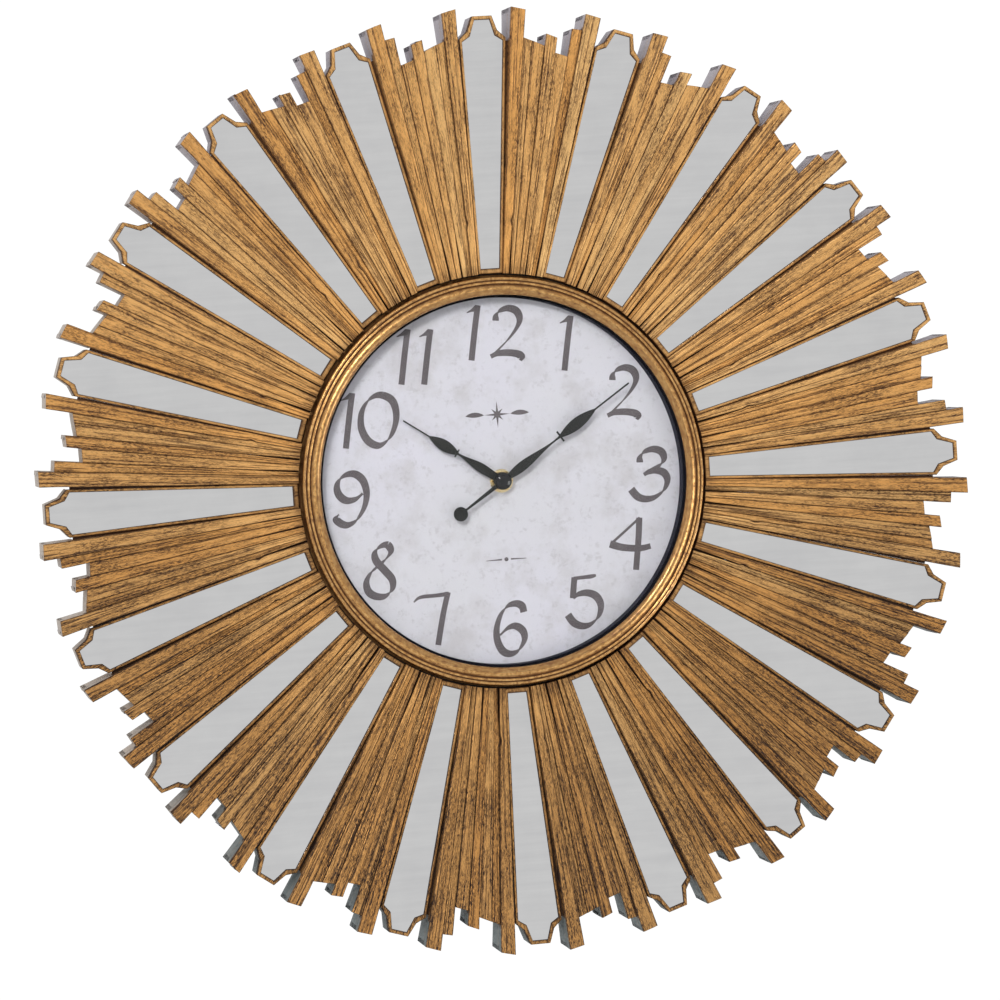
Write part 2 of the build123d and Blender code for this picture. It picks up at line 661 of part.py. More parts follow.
def arbor(spot, wheel, pinion, body_r):
    """Wheel and pinion on one arbor that runs in the cover and the case."""
    with BuildPart() as piece:
        with BuildSketch(facing(COVER_THICKNESS - PIVOT_LENGTH)):
            with Locations(spot):
                Circle(PIVOT_R)
        extrude(amount=ROOM_FRONT_DEPTH - COVER_THICKNESS + 2 * PIVOT_LENGTH)
        with BuildSketch(facing(COVER_THICKNESS + 0.1)):
            with Locations(spot):
                Circle(body_r)
        extrude(amount=ROOM_FRONT_DEPTH - COVER_THICKNESS - 0.2)
        add(wheel)
        add(pinion)
    return piece.part


cannon_phase = MOTION_DIRECTION
motion_phase = mate_phase(cannon_phase, CANNON_TEETH, MOTION_DIRECTION, MOTION_TEETH)
knob_phase = mate_phase(motion_phase, MOTION_TEETH, KNOB_DIRECTION, KNOB_TEETH)
motion_pinion_phase = MOTION_DIRECTION + 180
hour_phase = mate_phase(motion_pinion_phase, MOTION_PINION_TEETH, MOTION_DIRECTION + 180, HOUR_TEETH)
centre_phase = THIRD_DIRECTION
third_pinion_phase = mate_phase(centre_phase, CENTRE_TEETH, THIRD_DIRECTION, THIRD_PINION_TEETH)
third_phase = SECOND_DIRECTION
second_pinion_phase = mate_phase(third_phase, THIRD_TEETH, SECOND_DIRECTION, SECOND_PINION_TEETH)
second_phase = INTERMEDIATE_DIRECTION
intermediate_pinion_phase = mate_phase(
    second_phase, SECOND_TEETH, INTERMEDIATE_DIRECTION, INTERMEDIATE_PINION_TEETH
)
intermediate_phase = ROTOR_DIRECTION
rotor_phase = mate_phase(intermediate_phase, INTERMEDIATE_TEETH, ROTOR_DIRECTION, ROTOR_PINION_TEETH)

PINION_OVERLAP = (PINION_THICKNESS - WHEEL_THICKNESS) / 2   # pinions stand out on both sides of their wheel

save(arbor(
    MOTION_SPOT,
    toothed_disc(MOTION_TEETH, MOTION_MODULE, motion_phase, MOTION_SPOT, LAYER_MOTION, WHEEL_THICKNESS),
    toothed_disc(
        MOTION_PINION_TEETH, HOUR_MODULE, motion_pinion_phase, MOTION_SPOT,
        LAYER_HOUR - PINION_OVERLAP, PINION_THICKNESS,
    ),
    PIVOT_R + 0.1,
), "motion_wheel")

save(arbor(
    THIRD_SPOT,
    toothed_disc(THIRD_TEETH, TRAIN_MODULE, third_phase, THIRD_SPOT, LAYER_THIRD, WHEEL_THICKNESS),
    toothed_disc(
        THIRD_PINION_TEETH, CENTRE_MODULE, third_pinion_phase, THIRD_SPOT,
        LAYER_CENTRE - PINION_OVERLAP, PINION_THICKNESS,
    ),
    PIVOT_R + 0.1,
), "third_wheel")

save(arbor(
    SECOND_SPOT,
    toothed_disc(SECOND_TEETH, TRAIN_MODULE, second_phase, SECOND_SPOT, LAYER_SECOND, WHEEL_THICKNESS),
    toothed_disc(
        SECOND_PINION_TEETH, TRAIN_MODULE, second_pinion_phase, SECOND_SPOT,
        LAYER_THIRD - PINION_OVERLAP, PINION_THICKNESS,
    ),
    PIVOT_R + 0.1,
), "second_wheel")

save(arbor(
    INTERMEDIATE_SPOT,
    toothed_disc(
        INTERMEDIATE_TEETH, TRAIN_MODULE, intermediate_phase, INTERMEDIATE_SPOT, LAYER_ROTOR, WHEEL_THICKNESS
    ),
    toothed_disc(
        INTERMEDIATE_PINION_TEETH, TRAIN_MODULE, intermediate_pinion_phase, INTERMEDIATE_SPOT,
        LAYER_SECOND - PINION_OVERLAP, PINION_THICKNESS,
    ),
    PIVOT_R + 0.1,
), "intermediate_wheel")

MAGNET_R = 2.8
MAGNET_DEPTH = 5.4
MAGNET_LENGTH = 2.4

with BuildPart() as magnet:
    with BuildSketch(facing(MAGNET_DEPTH)):
        with Locations(ROTOR_SPOT):
            Circle(MAGNET_R)
    extrude(amount=MAGNET_LENGTH)

save(arbor(
    ROTOR_SPOT,
    magnet.part,
    toothed_disc(
        ROTOR_PINION_TEETH, TRAIN_MODULE, rotor_phase, ROTOR_SPOT,
        LAYER_ROTOR - PINION_OVERLAP, PINION_THICKNESS,
    ),
    PIVOT_R + 0.1,
), "rotor")

CENTRE_HUB_R = 3.0

centre_disc = toothed_disc(CENTRE_TEETH, CENTRE_MODULE, centre_phase, (0, 0), LAYER_CENTRE, WHEEL_THICKNESS)
with BuildPart() as centre_wheel:
    add(centre_disc)
    with BuildSketch(facing(LAYER_CENTRE - PINION_OVERLAP)):
        Circle(CENTRE_HUB_R)
    extrude(amount=PINION_THICKNESS)
    with BuildSketch(facing(LAYER_CENTRE - PINION_OVERLAP)):
        Circle(ARBOR_R + 0.05)
    extrude(amount=PINION_THICKNESS, mode=Mode.SUBTRACT)
save(centre_wheel.part, "centre_wheel")

# The minute arbor: rear pivot, cannon pinion, and the long stem through the hour pipe
cannon = toothed_disc(
    CANNON_TEETH, MOTION_MODULE, cannon_phase, (0, 0), LAYER_MOTION - PINION_OVERLAP, PINION_THICKNESS
)
STEM_END_DEPTH = 30.0
THREAD_R = 1.2

with BuildPart() as minute_arbor:
    with BuildSketch(facing(COVER_THICKNESS - PIVOT_LENGTH)):
        Circle(PIVOT_R)
    extrude(amount=LAYER_CENTRE - COVER_THICKNESS)
    with BuildSketch(facing(LAYER_THIRD + WHEEL_THICKNESS + 0.2)):
        Circle(ARBOR_R)
    extrude(amount=MINUTE_HAND_DEPTH - LAYER_THIRD - WHEEL_THICKNESS - 0.2)
    with BuildSketch(facing(MINUTE_HAND_DEPTH)):
        Circle(THREAD_R)
    extrude(amount=STEM_END_DEPTH - MINUTE_HAND_DEPTH)
    add(cannon)
save(minute_arbor.part, "minute_arbor")

# The hour wheel: its pipe runs in the bush, and the minute arbor runs in the pipe
hour_disc = toothed_disc(HOUR_TEETH, HOUR_MODULE, hour_phase, (0, 0), LAYER_HOUR, WHEEL_THICKNESS)

with BuildPart() as hour_wheel:
    add(hour_disc)
    with BuildSketch(facing(LAYER_HOUR)):
        Circle(3.4)
    extrude(amount=ROOM_FRONT_DEPTH - LAYER_HOUR - 0.2)
    with BuildSketch(facing(LAYER_HOUR)):
        Circle(HOUR_PIPE_R)
    extrude(amount=HOUR_HAND_DEPTH + HAND_THICKNESS + 0.3 - LAYER_HOUR)
    with BuildSketch(facing(LAYER_HOUR)):
        Circle(HOUR_BORE_R)
    extrude(amount=HOUR_HAND_DEPTH + 5 - LAYER_HOUR, mode=Mode.SUBTRACT)
save(hour_wheel.part, "hour_wheel")

# The setting knob: a gear in the motion wheel's layer, a shaft through the cover, a knurled disc outside
knob_gear = toothed_disc(KNOB_TEETH, MOTION_MODULE, knob_phase, KNOB_SPOT, LAYER_MOTION, WHEEL_THICKNESS)

with BuildPart() as setting_knob:
    add(knob_gear)
    with BuildSketch(facing(0.3)):
        with Locations(KNOB_SPOT):
            Circle(KNOB_R)
        with Locations(KNOB_SPOT):
            with PolarLocations(KNOB_R, 24):
                Circle(0.25, mode=Mode.SUBTRACT)
    extrude(amount=KNOB_POCKET_DEPTH - 0.5)
    with BuildSketch(facing(KNOB_POCKET_DEPTH - 0.2)):
        with Locations(KNOB_SPOT):
            Circle(KNOB_SHAFT_R)
    extrude(amount=LAYER_MOTION + 1.2 - KNOB_POCKET_DEPTH)
    with BuildSketch(facing(LAYER_MOTION)):
        with Locations(KNOB_SPOT):
            Circle(PIVOT_R)
    extrude(amount=ROOM_FRONT_DEPTH + PIVOT_LENGTH - LAYER_MOTION)
save(setting_knob.part, "setting_knob")


# ---- Quartz movement: motor, board and battery ----

STATOR_DEPTH = 6.0
STATOR_THICKNESS = 0.8
COIL_DEPTH = STATOR_DEPTH + STATOR_THICKNESS / 2
COIL_Z = -11.6
COIL_R = 3.2
COIL_START_X = -2.0
COIL_LENGTH = 20.0
CORE_END_X = 22.0

with BuildPart() as stator:
    with BuildSketch(facing(STATOR_DEPTH)):
        with Locations((ROTOR_SPOT[0], ROTOR_SPOT[1] - 0.5)):
            RectangleRounded(9.4, 9.4, 1)
        with Locations(((ROTOR_SPOT[0] + CORE_END_X) / 2, COIL_Z)):
            Rectangle(CORE_END_X - ROTOR_SPOT[0], 2.0)
        with Locations(ROTOR_SPOT):
            Circle(MAGNET_R + 0.4, mode=Mode.SUBTRACT)
    extrude(amount=STATOR_THICKNESS)
save(stator.part, "stator")

coil_side = Plane(origin=(COIL_START_X, -COIL_DEPTH, COIL_Z), x_dir=(0, 1, 0), z_dir=(1, 0, 0))
with BuildPart() as coil:
    with BuildSketch(coil_side):
        Circle(COIL_R)
    extrude(amount=COIL_LENGTH)
    with BuildSketch(coil_side.offset(1)):
        Circle(COIL_R)
        Circle(COIL_R - 0.3, mode=Mode.SUBTRACT)
    extrude(amount=COIL_LENGTH - 2, mode=Mode.SUBTRACT)
    with BuildSketch(coil_side):
        Rectangle(STATOR_THICKNESS + 0.2, 2.2)
    extrude(amount=COIL_LENGTH, mode=Mode.SUBTRACT)
save(coil.part, "coil")

BOARD_DEPTH = 4.2
BOARD_THICKNESS = 0.6

with BuildPart() as board:
    with BuildSketch(facing(BOARD_DEPTH)):
        with Locations((14.5, -3.2)):
            Rectangle(20, 8)
    extrude(amount=BOARD_THICKNESS)

with BuildPart() as chip:
    with BuildSketch(facing(BOARD_DEPTH - 0.9)):
        with Locations((9, -3.2)):
            Circle(2.4)
    extrude(amount=0.9)

with BuildPart() as crystal:
    with BuildSketch(Plane(origin=(16, -BOARD_DEPTH - BOARD_THICKNESS - 1.0, -3.2), z_dir=(1, 0, 0))):
        Circle(1.0)
    extrude(amount=6)

save(Compound(children=[board.part, chip.part, crystal.part]), "circuit_board")

CONTACT_THICKNESS = 0.4
CONTACT_MIDDLE_X = ROOM_HALF_WIDTH - CONTACT_THICKNESS / 2

with BuildPart() as battery_contacts:
    with BuildSketch(facing(1)):
        with Locations((-CONTACT_MIDDLE_X, BATTERY_Z), (CONTACT_MIDDLE_X, BATTERY_Z)):
            Rectangle(CONTACT_THICKNESS, 10)
    extrude(amount=ROOM_FRONT_DEPTH - 1)
save(battery_contacts.part, "battery_contacts")

battery_side = Plane(
    origin=(-BATTERY_LENGTH / 2, -BATTERY_DEPTH, BATTERY_Z), x_dir=(0, 1, 0), z_dir=(1, 0, 0)
)
NIPPLE_LENGTH = 1.2
with BuildPart() as battery:
    with BuildSketch(battery_side):
        Circle(BATTERY_R)
    extrude(amount=BATTERY_LENGTH - NIPPLE_LENGTH)
    fillet(battery.edges().filter_by(GeomType.CIRCLE), 0.6)
    with BuildSketch(battery_side.offset(BATTERY_LENGTH - NIPPLE_LENGTH)):
        Circle(2.7)
    extrude(amount=NIPPLE_LENGTH)
save(battery.part, "battery")


# ---- Hands: flat stampings, drawn along their own length ----

def hand_plane(depth, angle):
    """Plane of a hand: x points along the hand."""
    return Plane(
        origin=(0, -depth, 0),
        x_dir=(sin(radians(angle)), 0, cos(radians(angle))),
        z_dir=(0, -1, 0),
    )


def blade(stations):
    """Outline through stations of (distance, half width) on both sides of the hand's line."""
    upper = Spline(*stations)
    lower = Spline(*[(x, -y) for x, y in stations])
    Line(upper @ 0, lower @ 0)
    Line(upper @ 1, lower @ 1)


with BuildPart() as hour_hand:
    with BuildSketch(hand_plane(HOUR_HAND_DEPTH, HOUR_HAND_ANGLE)):
        Circle(HOUR_HUB_R)
        for stations in (HOUR_BLADE, HOUR_LEAF):
            with BuildLine():
                blade(stations)
            make_face()
        for middle, length, width in HOUR_BARS:
            with Locations((middle, 0)):
                Rectangle(length, width)
        Circle(HOUR_PIPE_R + 0.02, mode=Mode.SUBTRACT)
    extrude(amount=HAND_THICKNESS)
save(hour_hand.part, "hour_hand")

with BuildPart() as minute_hand:
    with BuildSketch(hand_plane(MINUTE_HAND_DEPTH, MINUTE_HAND_ANGLE)):
        Circle(MINUTE_HUB_R)
        for stations in (MINUTE_BLADE, MINUTE_LEAF):
            with BuildLine():
                blade(stations)
            make_face()
        for middle, length, width in MINUTE_BARS:
            with Locations((middle, 0)):
                Rectangle(length, width)
        with BuildLine():
            Polyline(*MINUTE_TAIL, close=True)
        make_face()
        with Locations((MINUTE_WEIGHT[0], 0)):
            Circle(MINUTE_WEIGHT[1])
        Circle(THREAD_R + 0.02, mode=Mode.SUBTRACT)
    extrude(amount=HAND_THICKNESS)
save(minute_hand.part, "minute_hand")

CAP_BACK_DEPTH = MINUTE_HAND_DEPTH + HAND_THICKNESS

CAP_BORE_END_DEPTH = STEM_END_DEPTH + 0.2

with BuildPart() as cap_nut:
    with BuildSketch(Plane.XY):
        with BuildLine():
            TangentArc((0, -CAP_END_DEPTH), (CAP_R, -CAP_BACK_DEPTH - CAP_EDGE), tangent=(1, 0))
            Polyline(
                (CAP_R, -CAP_BACK_DEPTH - CAP_EDGE),
                (CAP_R, -CAP_BACK_DEPTH),
                (THREAD_R + 0.02, -CAP_BACK_DEPTH),
                (THREAD_R + 0.02, -CAP_BORE_END_DEPTH),
                (0, -CAP_BORE_END_DEPTH),
                (0, -CAP_END_DEPTH),
            )
        make_face()
    revolve(axis=Axis.Y)
save(cap_nut.part, "cap_nut")
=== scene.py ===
from math import atan2, ceil, cos, exp, hypot, pi, radians, sin
import bpy
from mathutils import Euler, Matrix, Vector, noise


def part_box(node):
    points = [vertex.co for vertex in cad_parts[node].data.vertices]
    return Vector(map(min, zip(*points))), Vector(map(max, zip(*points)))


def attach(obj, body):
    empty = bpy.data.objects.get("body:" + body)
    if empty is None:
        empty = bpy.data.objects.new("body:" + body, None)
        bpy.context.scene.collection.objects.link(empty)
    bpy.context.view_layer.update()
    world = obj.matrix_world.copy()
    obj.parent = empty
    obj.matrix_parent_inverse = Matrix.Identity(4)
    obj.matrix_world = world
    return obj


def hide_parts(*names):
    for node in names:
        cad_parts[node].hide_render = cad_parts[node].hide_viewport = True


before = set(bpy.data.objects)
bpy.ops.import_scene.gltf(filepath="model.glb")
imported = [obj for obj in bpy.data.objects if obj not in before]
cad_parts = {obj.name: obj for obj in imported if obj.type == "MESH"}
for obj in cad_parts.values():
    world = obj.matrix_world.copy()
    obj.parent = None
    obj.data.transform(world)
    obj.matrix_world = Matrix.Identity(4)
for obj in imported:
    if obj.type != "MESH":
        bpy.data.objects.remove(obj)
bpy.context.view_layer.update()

# Looks of the sunburst wall clock, in metres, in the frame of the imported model.
# The face looks along -Y, 12 o'clock is +Z, and the origin is on the hands' axis in the wall plane.
# Dimensions below are in millimetres, as in the part's source, and MM turns them into metres.
# "Depth" is the distance from the wall towards the viewer. Ray angles run clockwise from 12 o'clock.

MM = 0.001


def front_depth(node):
    """Depth of a node's front, in millimetres."""
    return -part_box(node)[0][1] / MM


def half_width(node):
    """Half of a node's width in X, in millimetres."""
    low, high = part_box(node)
    return (high[0] - low[0]) / 2 / MM


# ---- Dimensions shared with the part ----
SEGMENTS = 10
RAY_STEP = 18.0
FAN_INNER_R = 146.2
DISH_SLOPE = 0.155
DISH_DEPTH_AT_AXIS = 6.1
FAN_SLOPE = 0.180
FAN_DEPTH_AT_AXIS = 6.4
SLAT_THICKNESS = 9.0
RIM_BACK_DEPTH = 31.0
RIM_WALL = 3.0
SEAT_BACK = -6.0                      # back of a mirror's seat, from the mirror's face
SEAT_FLOOR = -3.05
BACKING_TOP = -1.0
BACKING_HALF_ANGLE = 3.45
PAD_RING_R = 160.0
PAD_SECTION = ((6.1, 6.0), (0.4, 6.0), (0.0, 5.6), (0.0, 1.6))    # height over the plate, radius
PLATE_FRONT_DEPTH = front_depth("back_housing")
DIAL_FRONT_DEPTH = front_depth("dial_plate")

# One fan of slats: start and end angle from the mirror with the double steps, outer radius at each, height
SLATS = [
    (3.4, 5.3, 329.0, 330.0, 0.0),
    (5.3, 6.6, 318.7, 318.7, -1.6),
    (6.6, 8.4, 299.2, 300.7, -0.4),
    (8.4, 9.9, 311.0, 313.0, 0.5),
    (9.9, 11.6, 304.7, 307.6, -0.8),
    (11.6, 12.8, 307.6, 309.6, -1.7),
    (12.8, 14.6, 328.5, 330.2, 0.0),
]
# Where slats part towards their inner ends: edge angle and half of the gap there, in degrees
GAPS_BEFORE = {12.8: 0.26, 8.4: 0.17, 5.3: 0.14}
GAPS_AFTER = {6.6: 0.18, 9.9: 0.22, 14.6: 0.20}
KNOT_EDGE = 12.8                      # a knot bends this edge of every fan
KNOT_R = 183.5
KNOT_HALF_LENGTH = 2.8
KNOT_BEND = 0.34

MIRROR_CORNERS = [(6.75, 149.6), (14.55, 307.4), (8.85, 311.1), (5.4, 322.15)]
LIP_CORNERS = [(8.6, 146.2), (16.5, 309.2), (10.6, 314.6), (6.9, 324.7)]


# ---- Mesh building ----

def new_object(name, data):
    made = bpy.data.objects.new(name, data)
    bpy.context.scene.collection.objects.link(made)
    return made


class Pieces:
    """Vertices and faces of one piece. Each vertex has a patina, a gold and its plank's tone."""

    def __init__(self):
        self.points = []
        self.faces = []
        self.patina = []
        self.gold = []
        self.tones = []
        self.tone = 0.5

    def vertex(self, point, patina=0.0, gold=1.0):
        self.points.append((point[0] * MM, point[1] * MM, point[2] * MM))
        self.patina.append(min(max(patina, 0.0), 1.0))
        self.gold.append(min(max(gold, 0.0), 1.0))
        self.tones.append(self.tone)
        return len(self.points) - 1

    def grid(self, rows, closed=False, flip=False):
        """Quads between rows of (point, patina, gold)."""
        index = [[self.vertex(*entry) for entry in row] for row in rows]
        count = len(index[0])
        for lower, upper in zip(index, index[1:]):
            for i in range(count if closed else count - 1):
                j = (i + 1) % count
                quad = [lower[i], lower[j], upper[j], upper[i]]
                self.faces.append(quad[::-1] if flip else quad)

    def polygon(self, points, patina=0.0, gold=1.0, flip=False):
        index = [self.vertex(point, patina, gold) for point in points]
        self.faces.append(index[::-1] if flip else index)

    def build(self, name, material, body, replaced=(), smooth=35):
        """Makes the object, with its values as attributes, and puts it on its body."""
        mesh = bpy.data.meshes.new(name)
        mesh.from_pydata(self.points, [], self.faces)
        for attribute, values in (("patina", self.patina), ("gold", self.gold), ("tone", self.tones)):
            mesh.attributes.new(attribute, "FLOAT", "POINT").data.foreach_set("value", values)
        mesh.polygons.foreach_set("use_smooth", [True] * len(mesh.polygons))
        mesh.set_sharp_from_angle(angle=radians(smooth))
        mesh.materials.append(material)
        piece = new_object(name, mesh)
        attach(piece, body)
        if replaced:
            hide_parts(*replaced)
        return piece


def polar(radius, angle, depth):
    """Point at a radius, a ray angle in degrees and a depth."""
    return (radius * sin(radians(angle)), -depth, radius * cos(radians(angle)))


def beside_ray(ray, across, along, depth):
    """Point beside a ray: across to its clockwise side, along it outwards, at a depth."""
    turn = radians(ray)
    return (along * sin(turn) + across * cos(turn), -depth, along * cos(turn) - across * sin(turn))


def lerp(a, b, t):
    return a + (b - a) * t


def wave(*place):
    """Smooth noise between about -1 and 1 at a place."""
    return noise.noise(Vector((place + (0.0, 0.0, 0.0))[:3]))


# ---- Materials ----

class Paint:
    """One node material, with short calls for the nodes that the finishes use."""

    def __init__(self, name, colour=(0.5, 0.5, 0.5), metallic=0.0, roughness=0.5):
        self.material = bpy.data.materials.new(name)
        self.material.use_nodes = True
        self.tree = self.material.node_tree
        self.shader = self.tree.nodes["Principled BSDF"]
        self.put("Base Color", (*colour, 1.0))
        self.put("Metallic", metallic)
        self.put("Roughness", roughness)
        self.place = self.tree.nodes.new("ShaderNodeTexCoord").outputs["Object"]

    def wire(self, socket, value):
        if isinstance(value, bpy.types.NodeSocket):
            self.tree.links.new(value, socket)
        else:
            socket.default_value = value

    def put(self, name, value):
        self.wire(self.shader.inputs[name], value)

    def node(self, kind, inputs):
        """New shader node with its inputs, by name or number."""
        made = self.tree.nodes.new("ShaderNode" + kind)
        for key, value in inputs.items():
            self.wire(made.inputs[key], value)
        return made

    def math(self, operation, a, b=0.0, clamp=False):
        node = self.node("Math", {0: a, 1: b})
        node.operation = operation
        node.use_clamp = clamp
        return node.outputs[0]

    def times(self, a, b):
        return self.math("MULTIPLY", a, b)

    def plus(self, a, b, clamp=False):
        return self.math("ADD", a, b, clamp)

    def noise(self, scale, detail=2.0, roughness=0.5, vector=None):
        inputs = {"Vector": vector or self.place, "Scale": scale, "Detail": detail, "Roughness": roughness}
        return self.node("TexNoise", inputs).outputs["Fac"]

    def streaks(self, scales, detail=2.0, roughness=0.5, vector=None):
        """Noise with its own scale in each of the three directions."""
        node = self.node("VectorMath", {0: vector or self.place, 1: scales})
        node.operation = "MULTIPLY"
        return self.noise(1.0, detail, roughness, node.outputs[0])

    def ramp(self, value, low, high, to_low=0.0, to_high=1.0):
        inputs = {"Value": value, "From Min": low, "From Max": high, "To Min": to_low, "To Max": to_high}
        return self.node("MapRange", inputs).outputs["Result"]

    def mix(self, share, a, b):
        """Colour that goes from a to b as share goes from 0 to 1."""
        node = self.node("Mix", {0: share})
        node.data_type = "RGBA"
        for socket, colour in ((node.inputs[6], a), (node.inputs[7], b)):
            self.wire(socket, colour if isinstance(colour, bpy.types.NodeSocket) else (*colour, 1.0))
        return node.outputs[2]

    def attribute(self, name):
        node = self.node("Attribute", {})
        node.attribute_name = name
        return node.outputs["Fac"]

    def axes(self, vector=None):
        """The three parts of a vector, or of the object's own place in metres."""
        return self.node("SeparateXYZ", {0: vector or self.place}).outputs

    def round_place(self):
        """Place as (angle about the hands' axis, radius, y), in radians and metres."""
        x, y, z = self.axes()
        square = self.plus(self.times(x, x), self.times(z, z))
        inputs = {0: self.math("ARCTAN2", x, z), 1: self.math("SQRT", square), 2: y}
        return self.node("CombineXYZ", inputs).outputs[0]

    def bump(self, height, distance, strength=1.0):
        """Raises the surface by height, as much as distance in metres where height is 1."""
        node = self.node("Bump", {"Height": height, "Distance": distance, "Strength": strength})
        self.put("Normal", node.outputs["Normal"])


# Colours of the gold paint, the ring and the moulded walls, and of the shade and warm light painted on them
GOLD = (0.93, 0.47, 0.140)
GOLD_LIGHT = (1.0, 0.625, 0.255)
GOLD_DEEP = (0.36, 0.165, 0.048)
UMBER = (0.036, 0.015, 0.008)
UMBER_UNSHADED = (0.105, 0.044, 0.018)    # umber where no shade is painted; towards the bottom it darkens to UMBER as painted shade
RING_GOLD = (0.62, 0.325, 0.105)
RING_LIGHT = (0.92, 0.56, 0.22)
RING_UMBER = (0.165, 0.068, 0.028)
WALL_GREY = (0.58, 0.54, 0.58)
WALL_SHADE = tuple(0.85 * part for part in WALL_GREY)
# painted shade on the outer walls towards the bottom
WALL_PAINTED_SHADE = (0.20, 0.235, 0.235)
# painted warm light on the outer walls to the left
WALL_PAINTED_WARM_LIGHT = (0.62, 0.54, 0.47)
PAINTED_SHADE_AXIS = (-0.08, -0.997)               # towards the bottom, where the most shade is painted on the fans and walls
PAINTED_SHADE_SPAN = (-0.10, 0.13)            # from least to most painted shade, in metres that way
OUTWARD_SPAN = (0.160, 0.228)         # radii between which the planks darken, in metres
WARM_LIGHT_SPAN = (-0.20, -0.28)            # where the walls turn from grey to warm grey, as painted warm light on the left


def gold_planks():
    """Gold paint on carved wood grain, rubbed with dark umber, over grey moulded walls, with shade painted
    towards the bottom and warm light painted on the walls to the left.
    """
    paint = Paint("gold_planks", metallic=0.7, roughness=0.4)
    rays = paint.round_place()
    x, _, z = paint.axes()
    lines = paint.streaks((420, 20, 40), 4.0, 0.55, rays)
    hair = paint.streaks((900, 60, 200), 3.0, 0.6, rays)
    stipple = paint.streaks((640, 330, 400), 1.5, 0.7, rays)
    dashes = paint.streaks((620, 170, 400), 3.0, 0.7, rays)
    patches = paint.streaks((46, 34, 10), 4.0, 0.7, rays)
    # Painted shade: the gold, its umber and its marks darken towards the bottom, more so at the outer radii
    lower = paint.plus(paint.times(x, PAINTED_SHADE_AXIS[0]), paint.times(z, PAINTED_SHADE_AXIS[1]))
    outward = paint.ramp(paint.axes(rays)[1], *OUTWARD_SPAN)
    lower = paint.times(paint.ramp(lower, *PAINTED_SHADE_SPAN), paint.ramp(outward, 0.0, 1.0, 0.58, 1.0))
    # the real wear patches and grain streaks are made heavier towards the bottom as part of the painted shade
    worn = paint.ramp(paint.plus(patches, paint.times(lower, 0.07)), 0.40, 0.62, 0.12, 1.0)
    lines = paint.plus(lines, paint.times(lower, 0.065))
    streaks = paint.times(paint.ramp(lines, 0.645, 0.685), 0.9)
    hairs = paint.times(paint.ramp(hair, 0.60, 0.68), 0.45)
    rubbed = paint.times(paint.times(paint.ramp(stipple, 0.50, 0.55), worn), 0.84)
    dashed = paint.times(paint.ramp(dashes, 0.60, 0.66), 0.75)
    dark = paint.math("MAXIMUM", paint.math("MAXIMUM", streaks, hairs), paint.math("MAXIMUM", rubbed, dashed))
    # the dark marks are fullest where the painted shade falls and towards the outer ends
    fullness = paint.ramp(paint.math("MAXIMUM", lower, outward), 0.0, 1.0, 0.62, 0.98)
    dark = paint.times(dark, fullness)
    dark = paint.plus(dark, paint.attribute("patina"), clamp=True)
    tone = paint.plus(paint.attribute("tone"), paint.times(paint.ramp(lines, 0.3, 0.6), 0.5))
    gold = paint.mix(paint.ramp(tone, 0.2, 1.2), GOLD_LIGHT, GOLD)
    # deep gold comes in with the wear patches, with the painted shade towards the bottom, and towards the
    # outer ends
    for share, most in ((worn, 0.25), (lower, 0.46), (outward, 0.13)):
        gold = paint.mix(paint.times(share, most), gold, GOLD_DEEP)
    # the umber is painted darker towards the bottom, as shade
    umber = paint.mix(lower, UMBER_UNSHADED, UMBER)
    dust = paint.noise(900.0, 2.0, 0.6)
    outside = paint.ramp(paint.attribute("gold"), 0.02, 0.12)
    wall = paint.mix(paint.ramp(dust, 0.35, 0.65), WALL_GREY, WALL_SHADE)
    # painted shade: the outer walls turn dark teal grey towards the bottom
    wall = paint.mix(paint.times(outside, lower), wall, WALL_PAINTED_SHADE)
    # painted light: the outer walls turn warm grey to the left
    wall = paint.mix(paint.times(outside, paint.ramp(x, *WARM_LIGHT_SPAN)), wall, WALL_PAINTED_WARM_LIGHT)
    coat = paint.attribute("gold")
    coat = paint.ramp(paint.plus(coat, paint.times(paint.ramp(dust, 0.3, 0.7), 0.3)), 0.45, 0.75)
    paint.put("Base Color", paint.mix(coat, wall, paint.mix(dark, gold, umber)))
    paint.put("Metallic", paint.times(coat, paint.ramp(dark, 0.0, 1.0, 0.72, 0.05)))
    paint.put("Roughness", paint.ramp(dark, 0.0, 1.0, 0.38, 0.66))
    paint.put("Specular IOR Level", 0.3)
    relief = paint.plus(paint.times(stipple, 0.5), paint.times(dark, -0.8))
    paint.bump(relief, 0.00025, 0.8)
    return paint.material


def gold_ring():
    """Gold paint with brush marks round the ring, rubbed with umber in its grooves."""
    paint = Paint("gold_ring", metallic=0.85, roughness=0.3)
    ring = paint.round_place()
    brushed = paint.streaks((11, 1300, 900), 4.0, 0.6, ring)
    rubbed = paint.streaks((40, 420, 420), 4.0, 0.7, ring)
    specks = paint.streaks((110, 900, 900), 3.0, 0.7, ring)
    patina = paint.attribute("patina")
    marks = paint.math("MAXIMUM", paint.ramp(brushed, 0.58, 0.66), paint.ramp(specks, 0.58, 0.66))
    dark = paint.plus(paint.times(marks, 0.55), patina, clamp=True)
    dark = paint.plus(dark, paint.times(paint.ramp(rubbed, 0.54, 0.64), 0.45), clamp=True)
    gold = paint.mix(paint.ramp(rubbed, 0.34, 0.56), RING_LIGHT, RING_GOLD)
    paint.put("Base Color", paint.mix(dark, gold, RING_UMBER))
    paint.put("Metallic", paint.ramp(dark, 0.0, 1.0, 0.90, 0.25))
    paint.put("Roughness", paint.ramp(dark, 0.0, 1.0, 0.26, 0.13))
    paint.bump(paint.plus(brushed, paint.times(dark, -0.6)), 0.00012, 0.7)
    return paint.material


